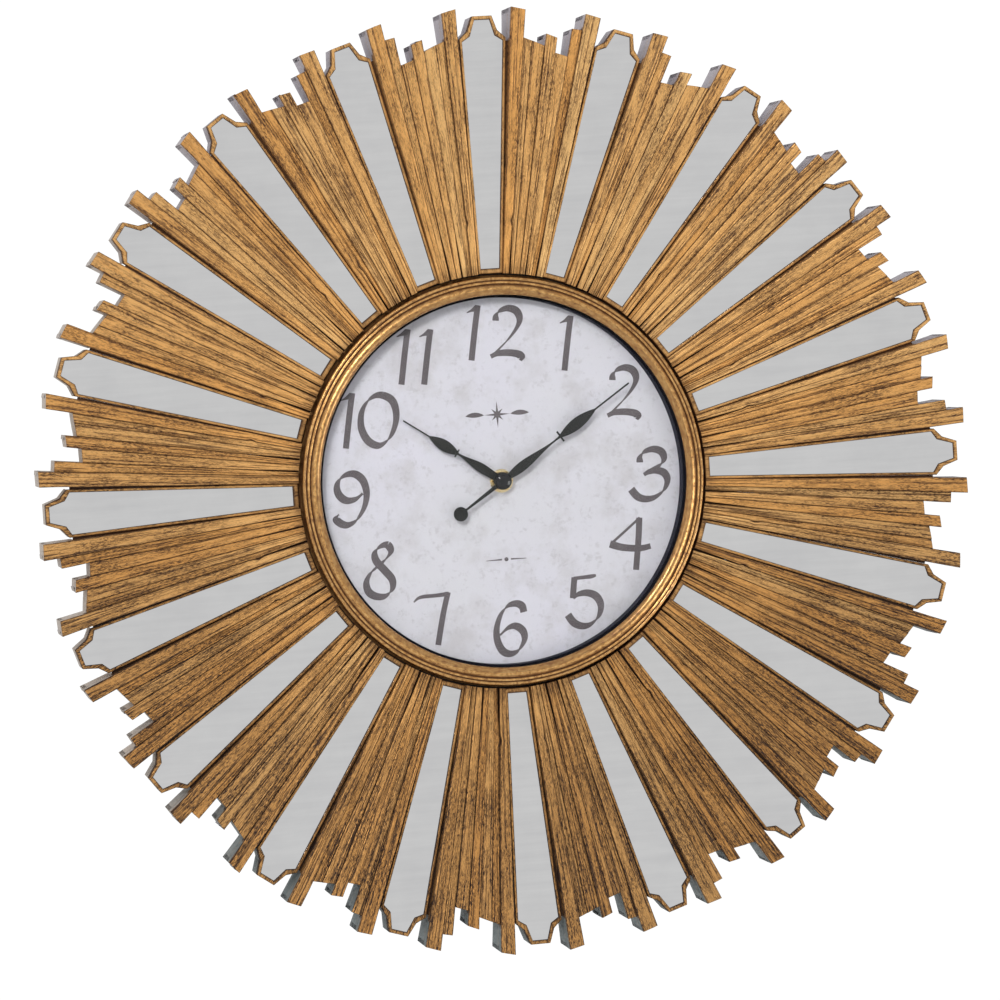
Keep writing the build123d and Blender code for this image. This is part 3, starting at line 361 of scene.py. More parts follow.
def silvered_glass():
    paint = Paint("silvered_glass", (0.83, 0.84, 0.845), metallic=1.0, roughness=0.03)
    haze = paint.noise(34.0, 4.0, 0.6)
    smear = paint.streaks((60, 10, 220), 3.0, 0.5)
    ripple = paint.streaks((16, 16, 210), 3.0, 0.6)
    cloudy = paint.plus(paint.times(haze, 0.5), paint.times(ripple, 0.5))
    cloudy = paint.ramp(cloudy, 0.38, 0.66)
    paint.put("Base Color", paint.mix(cloudy, (0.86, 0.86, 0.86), (0.79, 0.79, 0.795)))
    paint.put("Roughness", paint.ramp(smear, 0.35, 0.7, 0.02, 0.075))
    return paint.material


def clear_glass():
    """Clear glass with the faintest haze of dust."""
    paint = Paint("clear_glass", (1.0, 1.0, 1.0), roughness=0.0)
    paint.put("Transmission Weight", 1.0)
    paint.put("IOR", 1.18)
    dust = paint.noise(60.0, 4.0, 0.6)
    paint.put("Base Color", paint.mix(paint.ramp(dust, 0.4, 0.8), (1.0, 1.0, 1.0), (0.985, 0.99, 0.99)))
    return paint.material


def printed_card():
    """Dial card: pale, a little violet, with faint stains, hairline marks and paper tooth."""
    paint = Paint("printed_card", roughness=0.55)
    stains = paint.noise(30.0, 5.0, 0.65)
    clouds = paint.noise(9.0, 3.0, 0.5)
    flecks = paint.noise(210.0, 4.0, 0.7)
    tooth = paint.noise(2600.0, 2.0, 0.6)
    base = paint.mix(paint.ramp(clouds, 0.35, 0.65), (0.572, 0.564, 0.622), (0.560, 0.558, 0.586))
    base = paint.mix(paint.times(paint.ramp(stains, 0.48, 0.66), 0.75), base, (0.46, 0.447, 0.465))
    base = paint.mix(paint.times(paint.ramp(flecks, 0.55, 0.66), 0.50), base, (0.40, 0.385, 0.41))
    paint.put("Base Color", base)
    paint.put("Roughness", paint.ramp(stains, 0.3, 0.7, 0.5, 0.62))
    paint.bump(tooth, 0.00003, 0.5)
    return paint.material


def printing_ink():
    """Warm grey ink, a little uneven where it took on the card."""
    paint = Paint("printing_ink", roughness=0.6)
    uneven = paint.noise(420.0, 4.0, 0.65)
    pale = paint.noise(90.0, 3.0, 0.6)
    ink = paint.mix(paint.ramp(uneven, 0.35, 0.7), (0.078, 0.066, 0.071), (0.101, 0.086, 0.093))
    faded = paint.times(paint.ramp(pale, 0.5, 0.75), 0.5)
    paint.put("Base Color", paint.mix(faded, ink, (0.14, 0.122, 0.132)))
    paint.put("Roughness", paint.ramp(uneven, 0.3, 0.7, 0.52, 0.68))
    return paint.material


def moulded(name, dark, light, roughness=0.5, grain=1400.0, relief=0.00004, sheen=0.08, specular=0.5):
    """Moulded plastic or rubber: eroded-mould grain, faint flow marks and an uneven gloss."""
    paint = Paint(name, roughness=roughness)
    fine = paint.noise(grain, 3.0, 0.6)
    flow = paint.noise(24.0, 3.0, 0.5)
    scuffs = paint.streaks((90, 90, 420), 4.0, 0.7)
    paint.put("Specular IOR Level", specular)
    share = paint.plus(paint.times(paint.ramp(flow, 0.3, 0.7), 0.6),
                       paint.times(paint.ramp(fine, 0.3, 0.7), 0.4))
    paint.put("Base Color", paint.mix(share, dark, light))
    paint.put("Roughness", paint.ramp(scuffs, 0.4, 0.75, roughness, roughness - sheen))
    paint.bump(fine, relief, 0.6)
    return paint.material


def worked_metal(name, colour, roughness=0.3, brush=(1800, 60, 60), tarnish=0.25):
    """Metal with brush lines and a little tarnish."""
    paint = Paint(name, metallic=1.0, roughness=roughness)
    lines = paint.streaks(brush, 3.0, 0.6)
    cloud = paint.noise(150.0, 4.0, 0.6)
    dull = tuple(part * (1 - tarnish) for part in colour)
    paint.put("Base Color", paint.mix(paint.ramp(cloud, 0.35, 0.75), colour, dull))
    paint.put("Roughness", paint.ramp(lines, 0.3, 0.7, roughness - 0.06, roughness + 0.12))
    paint.bump(lines, 0.00002, 0.5)
    return paint.material


def wrapped_battery(low, high):
    """Plain battery wrap: dark, with a copper band at the positive end, and bare metal ends."""
    paint = Paint("wrapped_battery", metallic=0.35, roughness=0.3)
    along = paint.ramp(paint.axes()[0], low, high)
    print_noise = paint.noise(500.0, 3.0, 0.6)
    band = paint.ramp(along, 0.70, 0.702)
    end = paint.math("MAXIMUM", paint.ramp(along, 0.968, 0.972), paint.ramp(along, 0.012, 0.010))
    wrap = paint.mix(band, (0.02, 0.022, 0.026), (0.62, 0.33, 0.15))
    wrap = paint.mix(paint.times(paint.ramp(print_noise, 0.4, 0.7), 0.15), wrap, (0.2, 0.2, 0.2))
    paint.put("Base Color", paint.mix(end, wrap, (0.62, 0.62, 0.60)))
    paint.put("Metallic", paint.ramp(end, 0.0, 1.0, 0.35, 1.0))
    paint.put("Roughness", paint.ramp(print_noise, 0.3, 0.7, 0.26, 0.36))
    return paint.material


BOARD_BACK_DEPTH = 4.18
BOARD_FRONT_DEPTH = 4.82


def circuit():
    """Green board with a dark blob of resin on its back and a tinned crystal on its front."""
    paint = Paint("circuit", roughness=0.4)
    weave = paint.streaks((900, 900, 3000), 2.0, 0.5)
    depth = paint.times(paint.axes()[1], -1 / MM)
    tracks = paint.ramp(paint.streaks((120, 10, 700), 1.0), 0.52, 0.54)
    green = paint.mix(paint.times(tracks, 0.6), (0.012, 0.10, 0.045), (0.05, 0.22, 0.10))
    green = paint.mix(paint.times(paint.ramp(weave, 0.4, 0.6), 0.2), green, (0.02, 0.05, 0.03))
    resin = paint.ramp(depth, BOARD_BACK_DEPTH, BOARD_BACK_DEPTH - 0.02)
    can = paint.ramp(depth, BOARD_FRONT_DEPTH, BOARD_FRONT_DEPTH + 0.02)
    colour = paint.mix(resin, green, (0.012, 0.012, 0.013))
    paint.put("Base Color", paint.mix(can, colour, (0.6, 0.6, 0.62)))
    paint.put("Metallic", can)
    paint.put("Roughness", paint.ramp(weave, 0.3, 0.7, 0.32, 0.48))
    return paint.material


def wound_copper():
    paint = Paint("wound_copper", metallic=0.9, roughness=0.35)
    turns = paint.streaks((5200, 4, 4), 1.0, 0.5)
    lacquer = paint.noise(300.0, 3.0, 0.6)
    paint.put("Base Color", paint.mix(paint.ramp(lacquer, 0.3, 0.7), (0.62, 0.24, 0.10), (0.42, 0.13, 0.05)))
    paint.put("Roughness", paint.ramp(turns, 0.35, 0.65, 0.25, 0.5))
    paint.bump(turns, 0.00008, 1.0)
    return paint.material


# ---- Sunburst ----

def smooth_fall(value, span):
    """1 at 0, falling smoothly to 0 at span."""
    t = min(max(value / span, 0.0), 1.0)
    return 1 - t * t * (3 - 2 * t)


def slat_depth(radius, off_middle, height):
    return FAN_DEPTH_AT_AXIS + FAN_SLOPE * radius * cos(radians(off_middle)) + height


SLAT_COLUMNS = [0.0, 0.05, 0.10, 0.19, 0.28, 0.37, 0.46, 0.54, 0.63, 0.72, 0.81, 0.90, 0.95, 1.0]
SLAT_ROWS = 46
GROOVE_DEPTH = 0.42
FACE_DROP = 0.10                      # how far a plank's face lies behind the part's, on average
EDGE_DROP = 0.55
SLIT_DEPTH = 7.0                      # floor of the slits between planks, behind their fronts
OUTER_END_WEAR = 0.2
BACK_FINISH = (0.3, 0.0)              # patina and gold of what faces the wall
EDGE_UMBER = (0.95, 1.0)              # patina and gold of a plank's edge beside its neighbour
LIP_SHADE = (0.38, 1.0)               # the same of an edge beside a mirror's lip
WALL_STEPS = [(0.0, 0.35, 1.0), (0.6, 0.35, 0.80), (1.4, 0.45, 0.50), (3.2, 0.6, 0.32), (9.0, 0.8, 0.15)]


def edge_shift(radius, edge, gap, side, turn):
    """How far an edge of a slat wanders, in degrees: small waves, the knot and the gap at the inner end."""
    shift = 0.07 * wave(radius * 0.045, edge * 3.1, turn)
    if edge == KNOT_EDGE:
        shift += KNOT_BEND * exp(-((radius - KNOT_R) / KNOT_HALF_LENGTH) ** 2)
        shift -= 0.10 * smooth_fall(radius - FAN_INNER_R, KNOT_R - FAN_INNER_R)
    return shift + side * gap * smooth_fall(radius - FAN_INNER_R, 46.0)


def neighbour_reach(index):
    """Outer radii of what lies beside a slat, towards its start and towards its end."""
    before = SLATS[index - 1][3] if index else LIP_CORNERS[1][1]
    after = SLATS[index + 1][2] if index + 1 < len(SLATS) else LIP_CORNERS[1][1]
    return before, after


def slat(parts, mirror_ray, side, index, gaps):
    """One plank: carved front, edges, back and inner end."""
    start, end, outer_start, outer_end, height = SLATS[index]
    middle = (start + end) / 2
    turn = mirror_ray * 0.37 + side * 5.3
    parts.tone = 0.5 + 0.9 * wave(start * 7.7, turn * 3.3)
    grooved = [c for c in range(2, len(SLAT_COLUMNS) - 2) if wave(c * 1.7, start * 2.9, turn) > 0.02]

    def column(t, share):
        """Angle and radius at a share of the width and of the length."""
        outer = lerp(outer_start, outer_end, share)
        radius = lerp(FAN_INNER_R, outer, t)
        low = start + edge_shift(radius, start, gaps.get(start, 0.0), 1, turn)
        high = end + edge_shift(radius, end, gaps.get(end, 0.0), -1, turn)
        return lerp(low, high, share), radius

    def front(t, c):
        share = SLAT_COLUMNS[c]
        angle, radius = column(t, share)
        drop = FACE_DROP - FACE_DROP * wave(radius * 0.02, start, turn)
        patina = 0.0
        if c in (0, len(SLAT_COLUMNS) - 1):
            drop += EDGE_DROP
            patina += 0.95
        elif c in (1, len(SLAT_COLUMNS) - 2):
            drop += 0.16
            patina += 0.25 + 0.3 * wave(radius * 0.07, c, turn)
        if c in grooved:
            run = wave(radius * 0.024, c * 2.3 + start, turn) + 0.35 * wave(radius * 0.11, c, turn)
            cut = min(max((run + 0.02) * 3.2, 0.0), 1.0)
            drop += GROOVE_DEPTH * cut
            patina += 0.72 * cut
        if edge_is_knotted(c, radius):
            patina += 0.6
            drop += 0.25
        inner = smooth_fall(radius - FAN_INNER_R, 9.0)
        patina += inner * (0.25 + 0.3 * wave(angle * 1.9, turn))
        if t > 0.998:
            drop += 0.45
            patina += 0.18
        point = polar(radius, mirror_ray + side * angle, slat_depth(radius, angle - middle, height) - drop)
        return (point, patina, 1.0)

    def edge_is_knotted(c, radius):
        near = (start == KNOT_EDGE and c < 3) or (end == KNOT_EDGE and c > len(SLAT_COLUMNS) - 4)
        return near and abs(radius - KNOT_R) < KNOT_HALF_LENGTH

    shares = [j / (SLAT_ROWS - 1) for j in range(SLAT_ROWS - 1)] + [0.9975, 1.0]
    flip = side > 0
    parts.grid([[front(t, c) for c in range(len(SLAT_COLUMNS))] for t in shares], flip=flip)

    for edge, way, share in ((start, 1, 0.0), (end, -1, 1.0)):
        if edge not in gaps:
            continue
        rows = []
        for t in shares:
            angle, radius = column(t, share)
            closed = edge + edge_shift(radius, edge, 0.0, way, turn)
            depth = slat_depth(radius, angle - middle, height) - SLIT_DEPTH
            rows.append([(polar(radius, mirror_ray + side * a, depth), *EDGE_UMBER) for a in (closed, angle)])
        parts.grid(rows, flip=side * way > 0)

    def below(t, share, down):
        """Point below the front's edge, and its radius."""
        angle, radius = column(t, share)
        depth = slat_depth(radius, angle - middle, height) - FACE_DROP - EDGE_DROP - down
        return polar(radius, mirror_ray + side * angle, depth), radius

    def wall(places, turned_in, reach, beside, wear=0.0):
        """Edge of the plank along (length, width) shares: shaded as far as its neighbour reaches."""
        rows = []
        for down, patina, gold in WALL_STEPS:
            row = []
            for place in places:
                point, radius = below(*place, down)
                row.append((point, patina - wear, gold) if radius > reach else (point, *beside))
            rows.append(row)
        parts.grid(rows, flip=turned_in)

    before, after = neighbour_reach(index)
    wall([(t, 0.0) for t in shares], not flip, before, EDGE_UMBER if index else LIP_SHADE)
    wall([(t, 1.0) for t in shares], flip, after, EDGE_UMBER if index + 1 < len(SLATS) else LIP_SHADE)
    across = SLAT_COLUMNS[::3] + [1.0]
    wall([(0.0, share) for share in across], flip, FAN_INNER_R, EDGE_UMBER)
    wall([(1.0, share) for share in across], not flip, FAN_INNER_R, EDGE_UMBER, OUTER_END_WEAR)
    parts.grid([
        [(below(t, share, SLAT_THICKNESS)[0], *BACK_FINISH) for share in (0.0, 0.5, 1.0)]
        for t in shares[::5] + [1.0]
    ], flip=not flip)


RIM_STEPS = ((0.0, 0.3), (0.15, 0.35), (0.4, 0.2), (0.75, 0.15), (1.0, 0.15))    # share of the way down, gold
RIM_PATINA = 0.25
RIM_OVERLAP = 0.5                     # how far a rim wall reaches into what it hangs from
RIM_INNER_DROP = 2.0                  # how far its inner side starts in front of its outer side


def hanging_wall(parts, edge, inward):
    """Rim wall that hangs back from an edge of (x, y, z) points, as a closed box."""
    def level(point, down_to, shift):
        return (point[0] + shift[0], down_to, point[2] + shift[1])

    outer = [
        [(level(point, lerp(point[1], -RIM_BACK_DEPTH, step), (0, 0)), RIM_PATINA, gold) for point in edge]
        for step, gold in RIM_STEPS
    ]
    shifted = list(zip(edge, inward))
    back = [(level(point, -RIM_BACK_DEPTH, shift), *BACK_FINISH) for point, shift in shifted]
    inner = [(level(point, point[1] + RIM_INNER_DROP, shift), *BACK_FINISH) for point, shift in shifted]
    first = Vector(edge[0])
    along = Vector(edge[-1]) - first
    facing_in = Vector((inward[0][0], 0, inward[0][1]))
    flip = along.cross(Vector((0, 1, 0))).dot(facing_in) > 0
    parts.grid(outer + [back, inner], flip=flip)
    for index, turned_in in ((0, flip), (-1, not flip)):
        cap = [row[index][0] for row in outer] + [back[index][0], inner[index][0]]
        parts.polygon(cap, 0.3, 0.1, flip=turned_in)


def slat_rim(parts, mirror_ray, side, index):
    """Rim walls behind one slat: across its outer end, and down the sides that stand out."""
    start, end, outer_start, outer_end, height = SLATS[index]
    middle = (start + end) / 2

    def rim_point(radius, angle):
        depth = slat_depth(radius, angle - middle, height) - FACE_DROP - EDGE_DROP
        depth += RIM_OVERLAP - SLAT_THICKNESS
        return polar(radius, mirror_ray + side * angle, depth)

    across = [0.0, 0.5, 1.0]
    edge = [rim_point(lerp(outer_start, outer_end, s), lerp(start, end, s)) for s in across]
    inward = []
    for s in across:
        turn = radians(mirror_ray + side * lerp(start, end, s))
        inward.append((-RIM_WALL * sin(turn), -RIM_WALL * cos(turn)))
    hanging_wall(parts, edge, inward)
    before, after = neighbour_reach(index)
    for angle, own, other, way in ((start, outer_start, before, 1), (end, outer_end, after, -1)):
        if own <= other + 1.0:
            continue
        turn = radians(mirror_ray + side * angle)
        shift = side * way * RIM_WALL
        edge = [rim_point(radius, angle) for radius in (other - 2.0, (other + own) / 2, own)]
        hanging_wall(parts, edge, [(shift * cos(turn), -shift * sin(turn))] * 3)


def both_sides(corners):
    """Corners of a strip, from its inner left round the tip to its inner right."""
    return [(-w, r) for w, r in corners] + [(w, r) for w, r in reversed(corners)]


LIP_TONE = 0.35
LIP_TIP_MIDDLE_R = 300.0
LIP_STATION_LENGTH = 6
LIP_RIM_OVERLAP = 1.0
BACKING_FINISH = (0.95, 0.9)
# Share of the lip's width, height over the mirror, patina
LIP_SECTION = [
    (0.0, -1.2, 1.0), (0.0, 1.2, 0.9), (0.14, 1.8, 0.35), (0.5, 1.95, 0.0),
    (0.86, 1.75, 0.1), (1.0, 1.1, 0.7), (1.0, -1.2, 0.95), (1.0, SEAT_BACK, 0.9),
]


def dish_depth(along):
    return DISH_DEPTH_AT_AXIS + DISH_SLOPE * along


def lip_frame(parts, ray, inner, outer):
    """The raised frame itself: a rounded section carried round between two outlines."""
    stations = []
    for i in range(len(inner)):
        j = (i + 1) % len(inner)
        length = hypot(outer[j][0] - outer[i][0], outer[j][1] - outer[i][1])
        count = max(1, ceil(length / LIP_STATION_LENGTH))
        for step in range(count):
            t = step / count
            stations.append((
                (lerp(inner[i][0], inner[j][0], t), lerp(inner[i][1], inner[j][1], t)),
                (lerp(outer[i][0], outer[j][0], t), lerp(outer[i][1], outer[j][1], t)),
            ))
    rows = []
    for share, rise, patina in LIP_SECTION:
        row = []
        for near, far in stations:
            across, along = lerp(near[0], far[0], share), lerp(near[1], far[1], share)
            wear = 0.25 * wave(along * 0.09, ray, across * 0.2)
            wear += 0.30 * smooth_fall(along - FAN_INNER_R, 12.0)
            dip = 0.12 * abs(wave(along * 0.05, across, ray)) if rise > 1.5 else 0.0
            row.append((beside_ray(ray, across, along, dish_depth(along) + rise - dip), patina + wear, 1.0))
        rows.append(row)
    parts.grid(rows, closed=True)


def lip_rim(parts, ray, outer):
    """Rim walls behind the lip, round the tip of one mirror."""
    turn = radians(ray)
    for a, b in zip(outer[1:-1], outer[2:-1]):
        edge = [
            beside_ray(ray, *point, dish_depth(point[1]) + SEAT_BACK + LIP_RIM_OVERLAP) for point in (a, b)
        ]
        away = Vector((b[1] - a[1], a[0] - b[0])).normalized()
        if away.dot(Vector((-a[0], LIP_TIP_MIDDLE_R - a[1]))) < 0:
            away = -away
        shift = (
            RIM_WALL * (away.x * cos(turn) + away.y * sin(turn)),
            RIM_WALL * (-away.x * sin(turn) + away.y * cos(turn)),
        )
        hanging_wall(parts, edge, [shift, shift])


def lip(parts, ray):
    """Thin raised frame round one mirror, with the seat behind it."""
    parts.tone = LIP_TONE
    inner, outer = both_sides(MIRROR_CORNERS), both_sides(LIP_CORNERS)
    lip_frame(parts, ray, inner, outer)
    lip_rim(parts, ray, outer)
    seat_back = [beside_ray(ray, w, r, dish_depth(r) + SEAT_BACK) for w, r in outer]
    seat_floor = [beside_ray(ray, w, r, dish_depth(r) + SEAT_FLOOR) for w, r in inner]
    parts.polygon(seat_back, *BACK_FINISH)
    parts.polygon(seat_floor, *BACK_FINISH, flip=True)
    for side in (-1, 1):
        rows = []
        for along, across in ((FAN_INNER_R, LIP_CORNERS[0][0]), (LIP_CORNERS[1][1] - 2, LIP_CORNERS[1][0])):
            far = max(along * sin(radians(BACKING_HALF_ANGLE)), across + 0.2)
            depth = dish_depth(along) + BACKING_TOP
            rows.append([(beside_ray(ray, side * w, along, depth), *BACKING_FINISH) for w in (across, far)])
        parts.grid(rows, flip=side > 0)


def pad(parts, ray):
    """Boss that a housing screw bites into."""
    x, z = PAD_RING_R * sin(radians(ray)), PAD_RING_R * cos(radians(ray))
    rows = []
    for height, radius in PAD_SECTION:
        depth = PLATE_FRONT_DEPTH + height
        rows.append([
            ((x + radius * cos(a * pi / 12), -depth, z + radius * sin(a * pi / 12)), 0.2, 0.0)
            for a in range(24)
        ])
    parts.grid(rows, closed=True)


def segment(number, material):
    """One tenth of the sunburst, standing for its CAD node."""
    parts = Pieces()
    first = number * 2 * RAY_STEP
    double = first + RAY_STEP
    for ray in (first, double):
        lip(parts, ray)
    for side, gaps in ((-1, GAPS_BEFORE), (1, GAPS_AFTER)):
        for index in range(len(SLATS)):
            slat(parts, double, side, index, gaps)
            slat_rim(parts, double, side, index)
    for ray in (first + RAY_STEP / 2, first + 3 * RAY_STEP / 2):
        pad(parts, ray)
    name = f"{number + 1:02d}"
    parts.build(f"fan_segment_{name}", material, "root", [f"sunburst_segment_{name}"])


# ---- Turned pieces ----

def arc(first, through, last, steps):
    """Points of the circle through three (radius, depth) points, without the last."""
    (ax, ay), (bx, by), (cx, cy) = first, through, last
    d = 2 * (ax * (by - cy) + bx * (cy - ay) + cx * (ay - by))
    aa, bb, cc = ax * ax + ay * ay, bx * bx + by * by, cx * cx + cy * cy
    ux = (aa * (by - cy) + bb * (cy - ay) + cc * (ay - by)) / d
    uy = (aa * (cx - bx) + bb * (ax - cx) + cc * (bx - ax)) / d
    radius = hypot(ax - ux, ay - uy)
    from_angle, to_angle = atan2(ay - uy, ax - ux), atan2(cy - uy, cx - ux)
    if to_angle > from_angle:
        to_angle -= 2 * pi
    return [
        (ux + radius * cos(lerp(from_angle, to_angle, k / steps)),
         uy + radius * sin(lerp(from_angle, to_angle, k / steps)))
        for k in range(steps)
    ]


BEZEL_JOINS = (84.7, 262.9)           # ray angles of the two faint joins
JOIN_HALF_ANGLE = 0.4
JOIN_DROP = 0.18
BEZEL_FACE_DEPTH = 34.5               # what lies in front of this is the ring's face
BEZEL_STEPS = 480


def bezel_profile():
    """Radius, depth and patina round the ring's section: back, inner wall, three beads, outer wall."""
    wide = arc((131.1, 35.8), (135.9, 37.85), (138.2, 36.1), 12)
    thin = arc((138.8, 36.1), (139.8, 36.85), (140.8, 36.0), 7)
    outside = arc((141.25, 35.6), (142.5, 36.05), (143.6, 34.4), 7)
    return [
        (134.8, 20.5, 0.9), (134.8, 34.0, 0.9), (131.3, 34.0, 0.8), (131.1, 34.3, 0.6), (131.1, 35.4, 0.4),
        *((r, d, 0.0 if 6 < k < 10 else 0.36) for k, (r, d) in enumerate(wide)),
        (138.2, 36.1, 0.75), (138.4, 35.3, 1.0), (138.65, 35.3, 1.0),
        *((r, d, 0.0 if 1 < k < 6 else 0.6) for k, (r, d) in enumerate(thin)),
        (140.8, 36.0, 0.8), (140.95, 35.0, 1.0), (141.15, 35.0, 1.0),
        *((r, d, 0.1 if k > 1 else 0.5) for k, (r, d) in enumerate(outside)),
        (143.6, 34.4, 0.35), (143.6, 33.6, 0.6), (143.6, 30.5, 0.75), (143.6, 28.0, 0.9),
        (143.9, 27.0, 0.8), (144.6, 26.3, 0.6), (145.4, 26.0, 0.5), (145.4, 20.5, 0.9), (134.8, 20.5, 0.9),
    ]


def bezel(material):
    """Beaded ring round the dial, with its two faint joins."""
    parts = Pieces()
    rows = []
    for index, (radius, depth, patina) in enumerate(bezel_profile()):
        row = []
        on_face = depth > BEZEL_FACE_DEPTH
        inside = on_face and 131.2 < radius < 143.5
        for step in range(BEZEL_STEPS):
            angle = step * 360 / BEZEL_STEPS
            at_join = min(abs(angle - join) for join in BEZEL_JOINS) < JOIN_HALF_ANGLE
            across, up = cos(radians(angle)), sin(radians(angle))
            drop = JOIN_DROP if at_join and on_face else 0.0
            ripple = abs(0.05 * wave(radius * 0.8, 3 * across, 3 * up)) if inside else 0.0
            worn = 0.16 * wave(index * 0.9, 7 * across, 7 * up)
            dark = patina + worn + (0.3 if at_join else 0.0)
            row.append((polar(radius, angle, depth - drop - ripple), dark, 1.0))
        rows.append(row)
    parts.grid(rows, closed=True)
    parts.build("bezel_beads", material, "root", ["bezel_ring"], smooth=50)


CAP_SKIRT = 0.6
CAP_BORE_R = 1.25
CAP_CHAMFER = 0.15
CAP_TOP_R = 0.02
CAP_STEPS = 14


def cap(material):
    """Domed nut over the hands' hub."""
    front = front_depth("cap_nut")
    back = -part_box("cap_nut")[1][1] / MM
    radius = half_width("cap_nut")
    edge = back + CAP_SKIRT
    profile = [
        (CAP_BORE_R, back), (radius - CAP_CHAMFER, back), (radius, back + CAP_CHAMFER), (radius, edge),
    ]
    rise = front - edge
    for k in range(1, CAP_STEPS + 1):
        turn = pi / 2 * k / CAP_STEPS
        profile.append((max(radius * cos(turn), CAP_TOP_R), edge + rise * sin(turn)))
    parts = Pieces()
    rows = [[(polar(r, a * 5, d), 0.0, 1.0) for a in range(72)] for r, d in profile]
    parts.grid(rows, closed=True, flip=True)
    parts.polygon([entry[0] for entry in rows[-1]])
    parts.build("cap_dome", material, "minute", ["cap_nut"], smooth=60)


# ---- Printing on the dial ----

NIB_ANGLE = 43.0
NUMERAL_HEIGHT = 39.5
HAIRLINE = 0.75
FULL_STROKE = 4.9
NIB_SOFTNESS = 0.62
LEAN = 3.7                            # the strokes below lean this much to the left, in degrees
INK_HEIGHT = 0.07
STROKE_STEP = 0.004                   # from one stroke of a numeral to the next
STROKE_RISE = 0.02                    # from a stroke's start to its end, so that it can cross itself

# Pen strokes of each digit, in units of its height
DIGITS = {
    "0": [[(0.457, 0.945), (0.62, 0.86), (0.695, 0.68), (0.69, 0.45), (0.59, 0.2), (0.40, 0.055),
           (0.20, 0.13), (0.075, 0.36), (0.075, 0.62), (0.17, 0.82), (0.31, 0.93), (0.457, 0.945)]],
    "1": [[(0.0, 0.852, 0.8), (0.08, 0.888, 1.9), (0.165, 0.927, 4.6)],
          [(0.200, 0.985), (0.150, 0.6), (0.085, 0.0)]],
    "2": [[(0.15, 0.71), (0.16, 0.81), (0.24, 0.895), (0.38, 0.935), (0.52, 0.89), (0.585, 0.76),
           (0.54, 0.60), (0.37, 0.37), (0.07, 0.07)],
          [(0.06, 0.07), (0.2, 0.13), (0.40, 0.14), (0.56, 0.115), (0.625, 0.06), (0.60, 0.0)]],
    "3": [[(0.21, 0.70), (0.215, 0.80), (0.30, 0.895), (0.46, 0.94), (0.61, 0.89), (0.655, 0.77),
           (0.59, 0.66), (0.41, 0.55)],
          [(0.285, 0.478), (0.38, 0.53), (0.52, 0.555), (0.66, 0.51), (0.72, 0.38), (0.66, 0.21),
           (0.50, 0.08), (0.33, 0.04), (0.17, 0.085), (0.05, 0.22)]],
    "4": [[(0.58, 0.962), (0.31, 0.722), (0.04, 0.485)],
          [(0.03, 0.492), (0.25, 0.43), (0.52, 0.408), (0.66, 0.42), (0.78, 0.45)],
          [(0.570, 0.962), (0.557, 0.6), (0.512, 0.02)]],
    "5": [[(0.15, 0.90, 2.6), (0.34, 0.92, 2.7), (0.47, 0.935, 3.0), (0.56, 0.955, 1.8)],
          [(0.165, 0.92), (0.15, 0.75), (0.135, 0.545)],
          [(0.14, 0.55), (0.25, 0.62), (0.40, 0.64), (0.56, 0.58), (0.65, 0.42), (0.61, 0.22),
           (0.46, 0.075), (0.30, 0.045), (0.15, 0.11), (0.045, 0.25)]],
    "6": [[(0.565, 0.79), (0.53, 0.90), (0.42, 0.945), (0.27, 0.90), (0.14, 0.74), (0.07, 0.50),
           (0.085, 0.28), (0.18, 0.10), (0.32, 0.045), (0.47, 0.11), (0.575, 0.29), (0.55, 0.45),
           (0.42, 0.54), (0.28, 0.51), (0.13, 0.38)]],
    "7": [[(0.01, 0.79, 1.0), (0.09, 0.86, 2.1), (0.20, 0.89, 2.7), (0.40, 0.905, 2.7), (0.64, 0.935, 3.2)],
          [(0.630, 0.965), (0.54, 0.56), (0.45, 0.02)]],
    "8": [[(0.44, 0.955), (0.31, 0.93), (0.21, 0.82), (0.235, 0.67), (0.39, 0.50), (0.52, 0.34),
           (0.52, 0.17), (0.40, 0.05), (0.24, 0.04), (0.10, 0.12), (0.055, 0.28), (0.12, 0.44),
           (0.25, 0.57), (0.40, 0.70), (0.495, 0.84), (0.44, 0.955)]],
    "9": [[(0.53, 0.60), (0.40, 0.50), (0.24, 0.475), (0.115, 0.56), (0.065, 0.70), (0.11, 0.84),
           (0.24, 0.935), (0.40, 0.94), (0.54, 0.82), (0.60, 0.60), (0.56, 0.36), (0.43, 0.14),
           (0.28, 0.045), (0.15, 0.06), (0.05, 0.15), (0.10, 0.23)]],
}
# Advance from a digit's left to the next one's, in the same units
ADVANCE = {"10": 0.29, "11": 0.41, "12": 0.375}
# Middle of each numeral on the dial, in millimetres
NUMERALS = {
    "12": (1.7, 104.8), "1": (52.3, 94.4), "2": (91.8, 57.0), "3": (107.3, -2.3),
    "4": (90.3, -50.9), "5": (54.4, -89.1), "6": (-0.2, -104.7), "7": (-56.6, -93.2),
    "8": (-91.1, -56.9), "9": (-107.9, -5.3), "10": (-91.9, 49.0), "11": (-57.1, 91.6),
}


def flowing(points, steps=9):
    """Smooth run through the points of a stroke."""
    if len(points) < 3:
        return points
    ends = [points[-2] if points[0] == points[-1] else points[0]] + list(points)
    ends += [points[1] if points[0] == points[-1] else points[-1]]
    run = []
    for a, b, c, d in zip(ends, ends[1:], ends[2:], ends[3:]):
        for k in range(steps):
            t = k / steps
            run.append(tuple(
                0.5 * (2 * q + (r - p) * t + (2 * p - 5 * q + 4 * r - s) * t * t
                       + (3 * q - p - 3 * r + s) * t ** 3)
                for p, q, r, s in zip(a, b, c, d)
            ))
    return run + [points[-1]]


